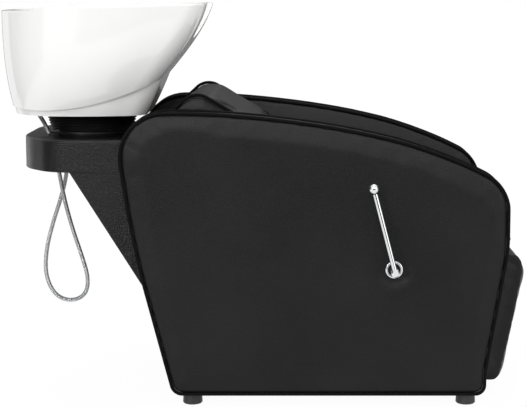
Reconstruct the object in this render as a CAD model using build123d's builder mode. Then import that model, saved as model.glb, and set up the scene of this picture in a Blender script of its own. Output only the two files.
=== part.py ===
from build123d import *
import os
from math import atan2, copysign, cos, degrees, pi, radians, sin, tan

# Hair washing bed: two upholstered side arms on feet carry a seat, a backrest, a swinging legrest
# and a cantilevered steel column with a tilting porcelain bowl, a rubber gaiter and a spray hose.
# +X runs from the bowl to the legrest, +Z up; the origin is on the floor in the middle of the feet.

os.makedirs("parts", exist_ok=True)

# Overall sizes
BODY_WIDTH = 645.0
ARM_THICKNESS = 78.0
ARM_LENGTH = 921.0
ARM_HEIGHT = 664.0
FOOT_HEIGHT = 30.0

# Places along the body as shares of the arms' length, from the middle of the feet
ARM_REAR_SHARE = -0.54832
FOOT_SPACING_SHARE = 0.70576
LEVER_SHARE = 0.16287
FRONT_RAIL_SHARE = 0.33116
HINGE_SHARE = 0.38111
BATTEN_FRONT_SHARE = 0.25624
SEAT_BOARD_FRONT_SHARE = 0.4343
NOSE_FRONT_SHARE = 0.48
arm_rear_x = ARM_REAR_SHARE * ARM_LENGTH
foot_spacing = FOOT_SPACING_SHARE * ARM_LENGTH

# Clearances
SOFT_GAP = 0.3
SEAT_GAP = 0.2
RUNNING_GAP = 0.05
OVERRUN = 5.0

ARM_INNER = BODY_WIDTH / 2 - ARM_THICKNESS
ARM_MIDDLE = BODY_WIDTH / 2 - ARM_THICKNESS / 2
SIDES = ((-1, "right"), (1, "left"))


def rounded_face(points, tangent_shares):
    """Face of a closed outline with a tangent arc at each corner.

    Each arc starts at a share of the shorter run beside its corner; a share of 0 leaves it sharp.
    """
    edges = []
    arc_ends = []
    for index, point in enumerate(points):
        corner = Vector(*point)
        back = Vector(*points[index - 1]) - corner
        ahead = Vector(*points[(index + 1) % len(points)]) - corner
        tangent = tangent_shares[index] * min(back.length, ahead.length)
        half_turn = radians(180 - back.get_angle(ahead)) / 2
        depth = tangent / tan(half_turn) * (1 / cos(half_turn) - 1)
        inward = (back.normalized() + ahead.normalized()).normalized()
        start = corner + back.normalized() * tangent
        end = corner + ahead.normalized() * tangent
        if tangent > 0:
            edges.append(Edge.make_three_point_arc(start, corner + inward * depth, end))
        arc_ends.append((start, end))
    for index, (start, end) in enumerate(arc_ends):
        edges.append(Edge.make_line(arc_ends[index - 1][1], start))
    with BuildSketch() as face:
        make_face(edges)
    return face.sketch


def placed(corner_x, corner_z, length, height, share_rows):
    """Outline points from rows of length and height shares, measured from one corner."""
    return [(corner_x + row[0] * length, corner_z + row[1] * height) for row in share_rows]


def rounding(share_rows):
    """Third column of an outline's rows: each corner's tangent share."""
    return [row[2] for row in share_rows]


def drawn_in(points, centre, depth, fixed):
    """Outline with every corner moved towards the centre, but for the fixed ones."""
    moved = []
    for index, (x, z) in enumerate(points):
        if index in fixed:
            moved.append((x, z))
        else:
            moved.append((x + copysign(depth, centre[0] - x), z + copysign(depth, centre[1] - z)))
    return moved


# Places across a cushion, and how much of its edge draw shows there, as shares
CROWN_SHARES = ((-1.0, 1.0), (-0.93, 0.34), (-0.5, 0.05), (0.0, 0.0), (0.5, 0.05), (0.93, 0.34), (1.0, 1.0))


def save(part, name):
    """Label a finished piece and write it."""
    part.label = name
    export_step(part, f"parts/{name}.step")


# Side arms: board cores, padded covers and the welt sewn round both edges of each cover
ARM_OUTLINE_SHARES = (
    (0.1495, 0.0, 0.055),
    (0.053, 0.515, 0.30),
    (0.0, 1.0, 0.385),
    (0.418, 1.0, 0.61),
    (0.814, 0.8726, 0.58),
    (1.0, 0.744, 0.36),
    (1.0, 0.515, 0.22),
    (0.9457, 0.0723, 0.42),
    (0.9457, 0.0, 0.45),
)
FOAM_THICKNESS = 24.0
CORE_THICKNESS = 34.0
CORE_FOOT_DEPTH = 60.0
CORE_FOOT_INSET = 30.0
WELT_RADIUS = 3.6
WELT_REBATE = 7.0
FACE_ROUNDING = 5.5
arm_points = placed(arm_rear_x, FOOT_HEIGHT, ARM_LENGTH, ARM_HEIGHT, ARM_OUTLINE_SHARES)
arm_face = rounded_face(arm_points, rounding(ARM_OUTLINE_SHARES))
core_foot_start = arm_points[0][0] + CORE_FOOT_INSET
core_foot_end = arm_points[-1][0] - CORE_FOOT_INSET
core_foot_length = core_foot_end - core_foot_start
core_foot_middle = (core_foot_start + core_foot_end) / 2


def core_face(growth):
    """Outline of the board core, grown for the pocket that holds it, open at the arm's bottom."""
    with BuildSketch() as face:
        add(arm_face)
        offset(amount=growth - FOAM_THICKNESS)
        with Locations((core_foot_middle, FOOT_HEIGHT)):
            Rectangle(
                core_foot_length + 2 * growth, CORE_FOOT_DEPTH, align=(Align.CENTER, Align.MIN)
            )
    return face.sketch


# Lever bearing through the right arm
LEVER_X = LEVER_SHARE * ARM_LENGTH
LEVER_Z = 329.0
SHAFT_RADIUS = 8.0
BUSH_RADIUS = 13.0
BUSH_FLANGE_RADIUS = 17.0
BUSH_FLANGE = 3.0
HUB_RING_RADIUS = 21.0
HUB_RING_BORE = 14.0
HUB_RING_DEPTH = 8.0
HUB_RING_PROUD = 3.5

# Bolts that hold the cross rails and battens to the board cores
BOLT_RADIUS = 4.0
BOLT_REACH = 22.0
BOLT_HEAD_RADIUS = 7.0
BOLT_HEAD = 5.0
PLATE = 5.0
RAIL_DEPTH = 40.0
RAIL_WIDTH = 40.0
RAIL_WALL = 2.5
FRONT_RAIL_X = FRONT_RAIL_SHARE * ARM_LENGTH
FRONT_RAIL_Z = 165.0
REAR_RAIL_X = -280.0
REAR_LOW_Z = 130.0
REAR_HIGH_Z = 440.0
PLATE_MARGIN = 30.0
BOLT_PITCH_SHARE = 0.36
RAILS = {
    "front_cross_rail": (FRONT_RAIL_X, FRONT_RAIL_Z),
    "rear_low_rail": (REAR_RAIL_X, REAR_LOW_Z),
    "rear_high_rail": (REAR_RAIL_X, REAR_HIGH_Z),
}
end_plate_height = RAIL_DEPTH + 2 * PLATE_MARGIN
bolt_rise = end_plate_height * BOLT_PITCH_SHARE
rail_bolts = [(x, z + rise) for x, z in RAILS.values() for rise in (-bolt_rise, bolt_rise)]

# Feet: moulded glides with a steel stud that screws up into the core
FOOT_TOP_RADIUS = 22.0
FOOT_BASE_RADIUS = 23.5
FOOT_EDGE = 2.5
FOOT_RECESS_RADIUS = 8.0
FOOT_RECESS_DEPTH = 12.0
STUD_RADIUS = 5.0
STUD_START = 14.0
STUD_REACH = 34.0
foot_places = [(x, y) for x in (-foot_spacing / 2, foot_spacing / 2) for y in (-ARM_MIDDLE, ARM_MIDDLE)]

for side, hand in SIDES:
    middle = Plane.XZ.offset(-side * ARM_MIDDLE)
    with BuildPart() as arm_core:
        with BuildSketch(middle):
            add(core_face(0))
        extrude(amount=CORE_THICKNESS / 2, both=True)
        with BuildSketch(middle):
            with Locations(*rail_bolts):
                Circle(BOLT_RADIUS + SEAT_GAP)
            if side < 0:
                with Locations((LEVER_X, LEVER_Z)):
                    Circle(BUSH_RADIUS + SEAT_GAP)
        extrude(amount=ARM_THICKNESS, both=True, mode=Mode.SUBTRACT)
        with BuildSketch(Plane.XY.offset(FOOT_HEIGHT)):
            with Locations(*[place for place in foot_places if place[1] * side > 0]):
                Circle(STUD_RADIUS + SEAT_GAP)
        extrude(amount=STUD_REACH + SOFT_GAP, mode=Mode.SUBTRACT)
    save(arm_core.part, f"arm_core_{hand}")

    with BuildPart() as arm_cover:
        with BuildSketch(middle):
            add(arm_face)
        extrude(amount=ARM_THICKNESS / 2 - WELT_REBATE, both=True)
        with BuildSketch(middle):
            add(arm_face)
            offset(amount=-WELT_REBATE)
        extrude(amount=ARM_THICKNESS / 2, both=True)
        panels = arm_cover.faces().sort_by(Axis.Y)
        fillet(panels[0].edges() + panels[-1].edges(), radius=FACE_ROUNDING)
        with BuildSketch(middle):
            add(core_face(SEAT_GAP))
        extrude(amount=CORE_THICKNESS / 2 + SEAT_GAP, both=True, mode=Mode.SUBTRACT)
        with BuildSketch(middle):
            with Locations((core_foot_middle, FOOT_HEIGHT)):
                Rectangle(core_foot_length, 2 * OVERRUN)
        extrude(amount=CORE_THICKNESS / 2, both=True, mode=Mode.SUBTRACT)
        with BuildSketch(middle):
            with Locations(*rail_bolts):
                Circle(BOLT_RADIUS + SOFT_GAP)
        extrude(amount=side * ARM_THICKNESS, mode=Mode.SUBTRACT)
        if side < 0:
            with BuildSketch(middle):
                with Locations((LEVER_X, LEVER_Z)):
                    Circle(BUSH_FLANGE_RADIUS + SOFT_GAP)
            extrude(amount=ARM_THICKNESS, both=True, mode=Mode.SUBTRACT)
            with BuildSketch(Plane.XZ.offset(BODY_WIDTH / 2)):
                with Locations((LEVER_X, LEVER_Z)):
                    Circle(HUB_RING_RADIUS + SOFT_GAP)
            extrude(amount=HUB_RING_PROUD - HUB_RING_DEPTH, mode=Mode.SUBTRACT)
    save(arm_cover.part, f"arm_cover_{hand}")

    with BuildPart() as arm_welt:
        for reach in (-1, 1):
            welt_y = side * ARM_MIDDLE + reach * (ARM_THICKNESS / 2 - WELT_REBATE + WELT_RADIUS + SEAT_GAP)
            with BuildSketch(Plane.XZ.offset(-welt_y), mode=Mode.PRIVATE) as welt_line:
                add(arm_face)
                offset(amount=WELT_RADIUS + SEAT_GAP - WELT_REBATE)
            welt_path = welt_line.sketch.faces()[0].outer_wire()
            with BuildSketch(Plane(origin=welt_path @ 0, z_dir=welt_path % 0)):
                Circle(WELT_RADIUS)
            sweep(path=welt_path)
    save(arm_welt.part, f"arm_welt_{hand}")

with BuildPart() as feet:
    for foot_x, foot_y in foot_places:
        with BuildSketch(Plane.XY):
            with Locations((foot_x, foot_y)):
                Circle(FOOT_BASE_RADIUS)
        with BuildSketch(Plane.XY.offset(FOOT_HEIGHT)):
            with Locations((foot_x, foot_y)):
                Circle(FOOT_TOP_RADIUS)
        loft()
    chamfer(feet.edges().group_by(Axis.Z)[0], length=FOOT_EDGE)
    with Locations(*[(x, y, 0) for x, y in foot_places]):
        Cylinder(
            FOOT_RECESS_RADIUS, FOOT_RECESS_DEPTH,
            align=(Align.CENTER, Align.CENTER, Align.MIN), mode=Mode.SUBTRACT,
        )
    with Locations(*[(x, y, STUD_START) for x, y in foot_places]):
        Cylinder(
            STUD_RADIUS + SEAT_GAP, FOOT_HEIGHT,
            align=(Align.CENTER, Align.CENTER, Align.MIN), mode=Mode.SUBTRACT,
        )
save(feet.part, "feet")

with BuildPart() as foot_studs:
    with BuildSketch(Plane.XY.offset(STUD_START)):
        with Locations(*foot_places):
            Circle(STUD_RADIUS)
    extrude(amount=FOOT_HEIGHT + STUD_REACH - STUD_START)
save(foot_studs.part, "foot_studs")

# Steel cross rails: box tubes with end plates bolted to the arms' cores
rail_half = ARM_INNER - SOFT_GAP
for rail_name, (rail_x, rail_z) in RAILS.items():
    with BuildPart() as cross_rail:
        with BuildSketch(Plane.XZ):
            with Locations((rail_x, rail_z)):
                RectangleRounded(RAIL_WIDTH, RAIL_DEPTH, 2 * RAIL_WALL)
                offset(amount=-RAIL_WALL, mode=Mode.SUBTRACT)
        extrude(amount=rail_half - PLATE, both=True)
        for side, hand in SIDES:
            with BuildSketch(Plane.XZ.offset(-side * (rail_half - PLATE))):
                with Locations((rail_x, rail_z)):
                    Rectangle(RAIL_WIDTH, end_plate_height)
                with Locations((rail_x, rail_z - bolt_rise), (rail_x, rail_z + bolt_rise)):
                    Circle(BOLT_RADIUS + SEAT_GAP, mode=Mode.SUBTRACT)
            extrude(amount=-side * PLATE)
    save(cross_rail.part, rail_name)

# Seat: wooden battens on the arms carry the board, and the cushion's nose hangs over its front edge
SEAT_REAR_X = -190.0
SEAT_BOARD_FRONT_X = SEAT_BOARD_FRONT_SHARE * ARM_LENGTH
SEAT_CUSHION_REAR_X = -148.0
SEAT_BOARD_Z = 400.0
BOARD_THICKNESS = 15.0
SEAT_SIDE_GAP = 4.0
BATTEN_WIDTH = 22.0
BATTEN_DEPTH = 25.0
BATTEN_FRONT_X = BATTEN_FRONT_SHARE * ARM_LENGTH
CUSHION_SEAT_Z = 448.0
NOSE_FRONT_X = NOSE_FRONT_SHARE * ARM_LENGTH
NOSE_BOTTOM_Z = 377.0
CUSHION_DRAW = 11.0
BOARD_ROUNDING = 12.0
seat_half = ARM_INNER - SEAT_SIDE_GAP
seat_top_z = SEAT_BOARD_Z + BOARD_THICKNESS
seat_length = SEAT_BOARD_FRONT_X - SEAT_REAR_X
batten_length = BATTEN_FRONT_X - SEAT_REAR_X

with BuildPart() as seat_battens:
    for side, hand in SIDES:
        with BuildSketch(Plane.XY.offset(SEAT_BOARD_Z)):
            with Locations((SEAT_REAR_X + batten_length / 2, side * (ARM_INNER - SOFT_GAP - BATTEN_WIDTH / 2))):
                Rectangle(batten_length, BATTEN_WIDTH)
        extrude(amount=-BATTEN_DEPTH)
save(seat_battens.part, "seat_battens")

with BuildPart() as seat_board:
    with BuildSketch(Plane.XY.offset(SEAT_BOARD_Z)):
        with Locations((SEAT_REAR_X + seat_length / 2, 0)):
            RectangleRounded(seat_length, 2 * seat_half, BOARD_ROUNDING)
    extrude(amount=BOARD_THICKNESS)
save(seat_board.part, "seat_board")

# Corners of the seat cushion's side profile as shares of its length and of its whole height
SEAT_CUSHION_SHARES = (
    (0.0, 0.20, 0.1),
    (0.0, 0.93, 0.35),
    (0.35, 1.02, 0.45),
    (0.925, 0.97, 0.42),
    (1.0, 0.13, 0.2),
    (0.984, 0.0, 0.3),
    (0.93, 0.20, 0.1),
)
seat_cushion_length = NOSE_FRONT_X - SEAT_CUSHION_REAR_X
seat_cushion_height = CUSHION_SEAT_Z - NOSE_BOTTOM_Z
seat_cushion_points = placed(
    SEAT_CUSHION_REAR_X, NOSE_BOTTOM_Z, seat_cushion_length, seat_cushion_height, SEAT_CUSHION_SHARES
)
seat_cushion_centre = (SEAT_CUSHION_REAR_X + seat_cushion_length / 2, seat_top_z)
with BuildPart() as seat_cushion:
    for reach, draw in CROWN_SHARES:
        with BuildSketch(Plane.XZ.offset(reach * seat_half)):
            section = drawn_in(seat_cushion_points, seat_cushion_centre, draw * CUSHION_DRAW, (0, 5, 6))
            add(rounded_face(section, rounding(SEAT_CUSHION_SHARES)))
    loft(ruled=True)
    # The underside lies on the board and the hanging nose stands just off its front edge
    with BuildSketch(Plane.XZ):
        with Locations((SEAT_BOARD_FRONT_X + 2 * SOFT_GAP, seat_top_z + SOFT_GAP)):
            Rectangle(2 * seat_length, 2 * seat_cushion_height, align=(Align.MAX, Align.MAX))
    extrude(amount=BODY_WIDTH, both=True, mode=Mode.SUBTRACT)
save(seat_cushion.part, "seat_cushion")

# Backrest: a leaning board on battens, with a crowned cushion that swells into the shoulder roll
BACK_FOOT_X = -152.0
BACK_FOOT_Z = 428.0
BACK_LENGTH = 318.0
BACK_LEAN = 52.0
back_run = (cos(radians(180 - BACK_LEAN)), sin(radians(BACK_LEAN)))
back_out = (sin(radians(BACK_LEAN)), cos(radians(BACK_LEAN)))


def back_point(along, outward):
    """Point of the backrest's side view, up its board and out from the board's front face."""
    return (
        BACK_FOOT_X + along * back_run[0] + outward * back_out[0],
        BACK_FOOT_Z + along * back_run[1] + outward * back_out[1],
    )


back_board_points = [
    back_point(0, -BOARD_THICKNESS),
    back_point(BACK_LENGTH, -BOARD_THICKNESS),
    back_point(BACK_LENGTH, 0),
    back_point(0, 0),
]
back_batten_points = [
    back_point(BATTEN_DEPTH, -BOARD_THICKNESS - BATTEN_DEPTH),
    back_point(BACK_LENGTH - BATTEN_DEPTH, -BOARD_THICKNESS - BATTEN_DEPTH),
    back_point(BACK_LENGTH - BATTEN_DEPTH, -BOARD_THICKNESS),
    back_point(BATTEN_DEPTH, -BOARD_THICKNESS),
]
with BuildPart() as back_board:
    with BuildSketch(Plane.XZ):
        Polygon(*back_board_points, align=None)
    extrude(amount=seat_half, both=True)
save(back_board.part, "back_board")

with BuildPart() as back_battens:
    for side, hand in SIDES:
        with BuildSketch(Plane.XZ.offset(-side * (ARM_INNER - SOFT_GAP - BATTEN_WIDTH))):
            Polygon(*back_batten_points, align=None)
        extrude(amount=-side * BATTEN_WIDTH)
save(back_battens.part, "back_battens")

# Back cushion profile: shares of the board's length up it, and of the swell's depth out from it
BACK_SWELL = 124.0
BACK_CUSHION_SHARES = (
    (0.085, 0.0, 0.1),
    (0.085, 0.50, 0.40),
    (0.41, 1.26, 0.42),
    (1.125, 0.535, 0.45),
    (1.08, -0.10, 0.30),
    (0.98, -0.10, 0.1),
)
back_cushion_points = []
for along_share, out_share, turn_share in BACK_CUSHION_SHARES:
    back_cushion_points.append(back_point(along_share * BACK_LENGTH, out_share * BACK_SWELL + SOFT_GAP))
back_cushion_centre = back_point(BACK_LENGTH / 2, BACK_SWELL / 2)
with BuildPart() as back_cushion:
    for reach, draw in CROWN_SHARES:
        with BuildSketch(Plane.XZ.offset(reach * seat_half)):
            section = drawn_in(back_cushion_points, back_cushion_centre, draw * CUSHION_DRAW, (0, 4, 5))
            add(rounded_face(section, rounding(BACK_CUSHION_SHARES)))
    loft(ruled=True)
    with BuildSketch(Plane.XZ):
        Polygon(
            back_point(-BACK_LENGTH, SOFT_GAP),
            back_point(BACK_LENGTH + SOFT_GAP, SOFT_GAP),
            back_point(BACK_LENGTH + SOFT_GAP, -BACK_LENGTH),
            back_point(-BACK_LENGTH, -BACK_LENGTH),
            align=None,
        )
    extrude(amount=BODY_WIDTH, both=True, mode=Mode.SUBTRACT)
save(back_cushion.part, "back_cushion")

# Legrest: a board and pad that hang from a pin behind the pad's top and lean back with the arms
HINGE_X = HINGE_SHARE * ARM_LENGTH
HINGE_Z = 249.0
LEGREST_LEAN = 10.0
HINGE_TO_BOARD = 22.0
PAD_THICKNESS = 87.0
PAD_TOP = 118.0
PAD_LENGTH = 326.0
PAD_SIDE_GAP = 6.5
PAD_DRAW = 8.0
PAD_MARGIN = 8.0
legrest_plane = Plane(
    origin=(HINGE_X, 0, HINGE_Z),
    x_dir=(cos(radians(LEGREST_LEAN)), 0, -sin(radians(LEGREST_LEAN))),
    z_dir=(0, -1, 0),
)
board_back = HINGE_TO_BOARD
board_front = HINGE_TO_BOARD + BOARD_THICKNESS
pad_front = HINGE_TO_BOARD + PAD_THICKNESS
pad_bottom = PAD_TOP - PAD_LENGTH
board_top = PAD_TOP - PAD_MARGIN
board_bottom = pad_bottom + PAD_MARGIN
pad_half = ARM_INNER - PAD_SIDE_GAP
board_half = pad_half - PAD_MARGIN
# Pad profile corners, as shares of its thickness and of its length from the bottom
PAD_PROFILE_SHARES = (
    (0.0, 0.0, 0.3),
    (0.84, -0.003, 0.5),
    (0.93, 0.13, 0.45),
    (1.0, 0.50, 0.5),
    (0.98, 0.90, 0.42),
    (0.78, 1.0, 0.42),
    (0.0, 1.0, 0.2),
)
pad_profile = placed(board_back, pad_bottom, PAD_THICKNESS, PAD_LENGTH, PAD_PROFILE_SHARES)

with BuildPart() as legrest_board:
    with BuildSketch(legrest_plane):
        with Locations(((board_back + board_front) / 2, (board_top + board_bottom) / 2)):
            Rectangle(BOARD_THICKNESS, board_top - board_bottom)
    extrude(amount=board_half, both=True)
save(legrest_board.part, "legrest_board")

pad_centre = ((board_back + pad_front) / 2, (PAD_TOP + pad_bottom) / 2)
with BuildPart() as legrest_pad:
    for reach, draw in CROWN_SHARES:
        with BuildSketch(legrest_plane.offset(reach * pad_half)):
            section = drawn_in(pad_profile, pad_centre, draw * PAD_DRAW, (0, 6))
            add(rounded_face(section, rounding(PAD_PROFILE_SHARES)))
    loft(ruled=True)
    with BuildSketch(legrest_plane):
        with Locations((board_front + SOFT_GAP, (board_top + board_bottom) / 2)):
            Rectangle(
                2 * BOARD_THICKNESS, board_top - board_bottom + 2 * SOFT_GAP,
                align=(Align.MAX, Align.CENTER),
            )
    extrude(amount=board_half + SOFT_GAP, both=True, mode=Mode.SUBTRACT)
save(legrest_pad.part, "legrest_pad")

# Legrest hinge: two gussets on the front rail hold the pin, two brackets under the board turn on it
PIN_RADIUS = 6.0
EAR_RADIUS = 13.0
EAR_PLATE = 6.0
GUSSET_SETBACK = 70.5
BRACKET_SETBACK = 58.5
FLANGE_WIDTH = 30.0
FLANGE_THICKNESS = 4.0
FLANGE_LENGTH = 150.0
PIN_HEAD_RADIUS = 8.0
PIN_HEAD = 3.0
GUSSET_CORNER_SHARE = 0.82
LINK_THROW = 60.0
LINK_EAR_RADIUS = 11.0
gusset_inner = ARM_INNER - GUSSET_SETBACK
bracket_inner = ARM_INNER - BRACKET_SETBACK
rail_front_x = FRONT_RAIL_X + RAIL_WIDTH / 2
rail_top_z = FRONT_RAIL_Z + RAIL_DEPTH / 2

with BuildPart() as hinge_gussets:
    for side, hand in SIDES:
        with BuildSketch(Plane.XZ.offset(-side * gusset_inner)):
            with BuildLine():
                Polyline(
                    (FRONT_RAIL_X - RAIL_WIDTH / 2, rail_top_z),
                    (rail_front_x, rail_top_z),
                    (HINGE_X + EAR_RADIUS * GUSSET_CORNER_SHARE, HINGE_Z - EAR_RADIUS / 2),
                    (HINGE_X, HINGE_Z),
                    (HINGE_X - EAR_RADIUS, HINGE_Z + EAR_RADIUS / 2),
                    (FRONT_RAIL_X - RAIL_WIDTH / 2, rail_top_z + RAIL_WALL),
                    close=True,
                )
            make_face()
            with Locations((HINGE_X, HINGE_Z)):
                Circle(EAR_RADIUS)
                Circle(PIN_RADIUS + RUNNING_GAP, mode=Mode.SUBTRACT)
        extrude(amount=-side * EAR_PLATE)
save(hinge_gussets.part, "hinge_gussets")

with BuildPart() as hinge_pin:
    with BuildSketch(Plane.XZ):
        with Locations((HINGE_X, HINGE_Z)):
            Circle(PIN_RADIUS)
    extrude(amount=bracket_inner + EAR_PLATE + PIN_HEAD + 2 * RUNNING_GAP, both=True)
    for side, hand in SIDES:
        with BuildSketch(Plane.XZ.offset(-side * (bracket_inner + EAR_PLATE + 2 * RUNNING_GAP))):
            with Locations((HINGE_X, HINGE_Z)):
                Circle(PIN_HEAD_RADIUS)
        extrude(amount=-side * PIN_HEAD)
save(hinge_pin.part, "hinge_pin")

link_pin_x = HINGE_X
link_pin_z = HINGE_Z - LINK_THROW
bracket_face = board_back - FLANGE_THICKNESS
for side, hand in SIDES:
    with BuildPart() as legrest_bracket:
        with BuildSketch(legrest_plane.offset(-side * bracket_inner)):
            with Locations((board_back, 0)):
                Rectangle(FLANGE_THICKNESS, FLANGE_LENGTH, align=(Align.MAX, Align.CENTER))
        extrude(amount=side * FLANGE_WIDTH)
        with BuildSketch(Plane.XZ.offset(-side * bracket_inner)):
            with Locations((HINGE_X, HINGE_Z)):
                Circle(EAR_RADIUS)
            if side < 0:
                with Locations((link_pin_x, link_pin_z)):
                    Circle(LINK_EAR_RADIUS)
        with BuildSketch(legrest_plane.offset(-side * bracket_inner)):
            web_low = -LINK_THROW if side < 0 else -EAR_RADIUS
            Polygon(
                (-EAR_RADIUS / 2, 0),
                (0, EAR_RADIUS),
                (board_back, FLANGE_LENGTH / 2),
                (board_back, -FLANGE_LENGTH / 2),
                (-LINK_EAR_RADIUS / 2 if side < 0 else 0, web_low),
                align=None,
            )
        extrude(amount=-side * EAR_PLATE)
        with BuildSketch(Plane.XZ.offset(-side * bracket_inner)):
            with Locations((HINGE_X, HINGE_Z)):
                Circle(PIN_RADIUS + RUNNING_GAP)
        extrude(amount=-side * EAR_PLATE, mode=Mode.SUBTRACT)
    save(legrest_bracket.part, f"legrest_bracket_{hand}")

# Rubber buffers on the front rail, on which the hanging board rests
BUFFER_RADIUS = 9.0
BUFFER_SPREAD = 120.0
buffer_top = FRONT_RAIL_Z - BUFFER_RADIUS
buffer_end = HINGE_X + (
    board_back + (buffer_top - BUFFER_RADIUS - HINGE_Z) * sin(radians(LEGREST_LEAN))
) / cos(radians(LEGREST_LEAN))
with BuildPart() as legrest_buffers:
    with BuildSketch(Plane.YZ.offset(rail_front_x)):
        with Locations((-BUFFER_SPREAD, buffer_top), (BUFFER_SPREAD, buffer_top)):
            Circle(BUFFER_RADIUS)
    extrude(amount=buffer_end - SOFT_GAP - rail_front_x)
save(legrest_buffers.part, "legrest_buffers")

# Hand lever: a shaft in a flanged bush through the right arm, with a rod and ball outside
LEVER_LENGTH = 202.5
LEVER_LEAN = 14.6
LEVER_STANDOFF = 42.0
LEVER_ROD_RADIUS = 6.2
LEVER_BALL_RADIUS = 12.5
LEVER_BOSS_RADIUS = 9.5
SHAFT_SETBACK = 72.5
CRANK_SETBACK = 36.5
CRANK_PLATE = 8.0
CRANK_RADIUS = 15.0
LINK_SETBACK = 44.5
LINK_PLATE = 6.0
LINK_PIN_RADIUS = 5.0
LINK_PIN_GAP = 0.6
LINK_HALF = 9.0
SUPPORT_SETBACK = 66.5
SUPPORT_PLATE = 6.0
SUPPORT_HALF = 26.0
shaft_inner_y = ARM_INNER - SHAFT_SETBACK
crank_inner = ARM_INNER - CRANK_SETBACK
link_inner = ARM_INNER - LINK_SETBACK
support_inner = ARM_INNER - SUPPORT_SETBACK
lever_plane_y = BODY_WIDTH / 2 + LEVER_STANDOFF
core_outer = ARM_MIDDLE + CORE_THICKNESS / 2
core_inner = ARM_MIDDLE - CORE_THICKNESS / 2
lever_spot = (LEVER_X, LEVER_Z)

with BuildPart() as lever_shaft:
    with BuildSketch(Plane.XZ.offset(shaft_inner_y)):
        with Locations(lever_spot):
            Circle(SHAFT_RADIUS)
    extrude(amount=lever_plane_y - LEVER_BOSS_RADIUS - shaft_inner_y)
save(lever_shaft.part, "lever_shaft")

with BuildPart() as lever_bush:
    with BuildSketch(Plane.XZ.offset(core_inner)):
        with Locations(lever_spot):
            Circle(BUSH_RADIUS)
    extrude(amount=CORE_THICKNESS)
    with BuildSketch(Plane.XZ.offset(core_outer)):
        with Locations(lever_spot):
            Circle(BUSH_FLANGE_RADIUS)
    extrude(amount=BUSH_FLANGE)
    with BuildSketch(Plane.XZ.offset(core_inner)):
        with Locations(lever_spot):
            Circle(SHAFT_RADIUS + RUNNING_GAP)
    extrude(amount=CORE_THICKNESS + BUSH_FLANGE, mode=Mode.SUBTRACT)
save(lever_bush.part, "lever_bush")

ring_back_y = BODY_WIDTH / 2 + HUB_RING_PROUD - HUB_RING_DEPTH
with BuildPart() as lever_ring:
    with BuildSketch(Plane.XZ.offset(ring_back_y)):
        with Locations(lever_spot):
            Circle(HUB_RING_RADIUS)
            Circle(HUB_RING_BORE, mode=Mode.SUBTRACT)
    extrude(amount=HUB_RING_DEPTH)
    ring_face = lever_ring.faces().sort_by(Axis.Y)[0]
    fillet(ring_face.edges(), radius=HUB_RING_PROUD - SEAT_GAP)
save(lever_ring.part, "lever_ring")

lean_x = -sin(radians(LEVER_LEAN))
lean_z = cos(radians(LEVER_LEAN))
rod_plane = Plane(origin=(LEVER_X, -lever_plane_y, LEVER_Z), z_dir=(lean_x, 0, lean_z))
with BuildPart() as lever_rod:
    with BuildSketch(Plane.XZ.offset(lever_plane_y - LEVER_BOSS_RADIUS)):
        with Locations(lever_spot):
            Circle(LEVER_BOSS_RADIUS)
    extrude(amount=2 * LEVER_BOSS_RADIUS)
    chamfer(lever_rod.faces().sort_by(Axis.Y)[0].edges(), length=LEVER_BOSS_RADIUS / 4)
    with BuildSketch(rod_plane):
        Circle(LEVER_ROD_RADIUS)
    extrude(amount=LEVER_LENGTH - LEVER_BALL_RADIUS)
save(lever_rod.part, "lever_rod")

with BuildPart() as lever_ball:
    with Locations(rod_plane.offset(LEVER_LENGTH)):
        Sphere(LEVER_BALL_RADIUS)
    with BuildSketch(rod_plane.offset(LEVER_LENGTH - 2 * LEVER_BALL_RADIUS)):
        Circle(LEVER_ROD_RADIUS + RUNNING_GAP)
    extrude(amount=LEVER_BALL_RADIUS + RUNNING_GAP, mode=Mode.SUBTRACT)
save(lever_ball.part, "lever_ball")

crank_pin_z = LEVER_Z - LINK_THROW
with BuildPart() as lever_crank:
    with BuildSketch(Plane.XZ.offset(crank_inner)):
        with BuildLine():
            Polyline(
                (LEVER_X - CRANK_RADIUS, LEVER_Z),
                (LEVER_X + CRANK_RADIUS, LEVER_Z),
                (LEVER_X + LINK_EAR_RADIUS, crank_pin_z),
                (LEVER_X - LINK_EAR_RADIUS, crank_pin_z),
                close=True,
            )
        make_face()
        with Locations(lever_spot):
            Circle(CRANK_RADIUS)
        with Locations((LEVER_X, crank_pin_z)):
            Circle(LINK_EAR_RADIUS)
        with Locations(lever_spot):
            Circle(SHAFT_RADIUS + RUNNING_GAP, mode=Mode.SUBTRACT)
    extrude(amount=CRANK_PLATE)
    with BuildSketch(Plane.XZ.offset(link_inner - PIN_HEAD)):
        with Locations((LEVER_X, crank_pin_z)):
            Circle(LINK_PIN_RADIUS)
    extrude(amount=crank_inner - link_inner + PIN_HEAD)
save(lever_crank.part, "lever_crank")

with BuildPart() as legrest_link_pin:
    with BuildSketch(Plane.XZ.offset(bracket_inner + EAR_PLATE)):
        with Locations((link_pin_x, link_pin_z)):
            Circle(LINK_PIN_RADIUS)
    extrude(amount=link_inner + LINK_PLATE + PIN_HEAD - bracket_inner - EAR_PLATE)
save(legrest_link_pin.part, "legrest_link_pin")

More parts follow.
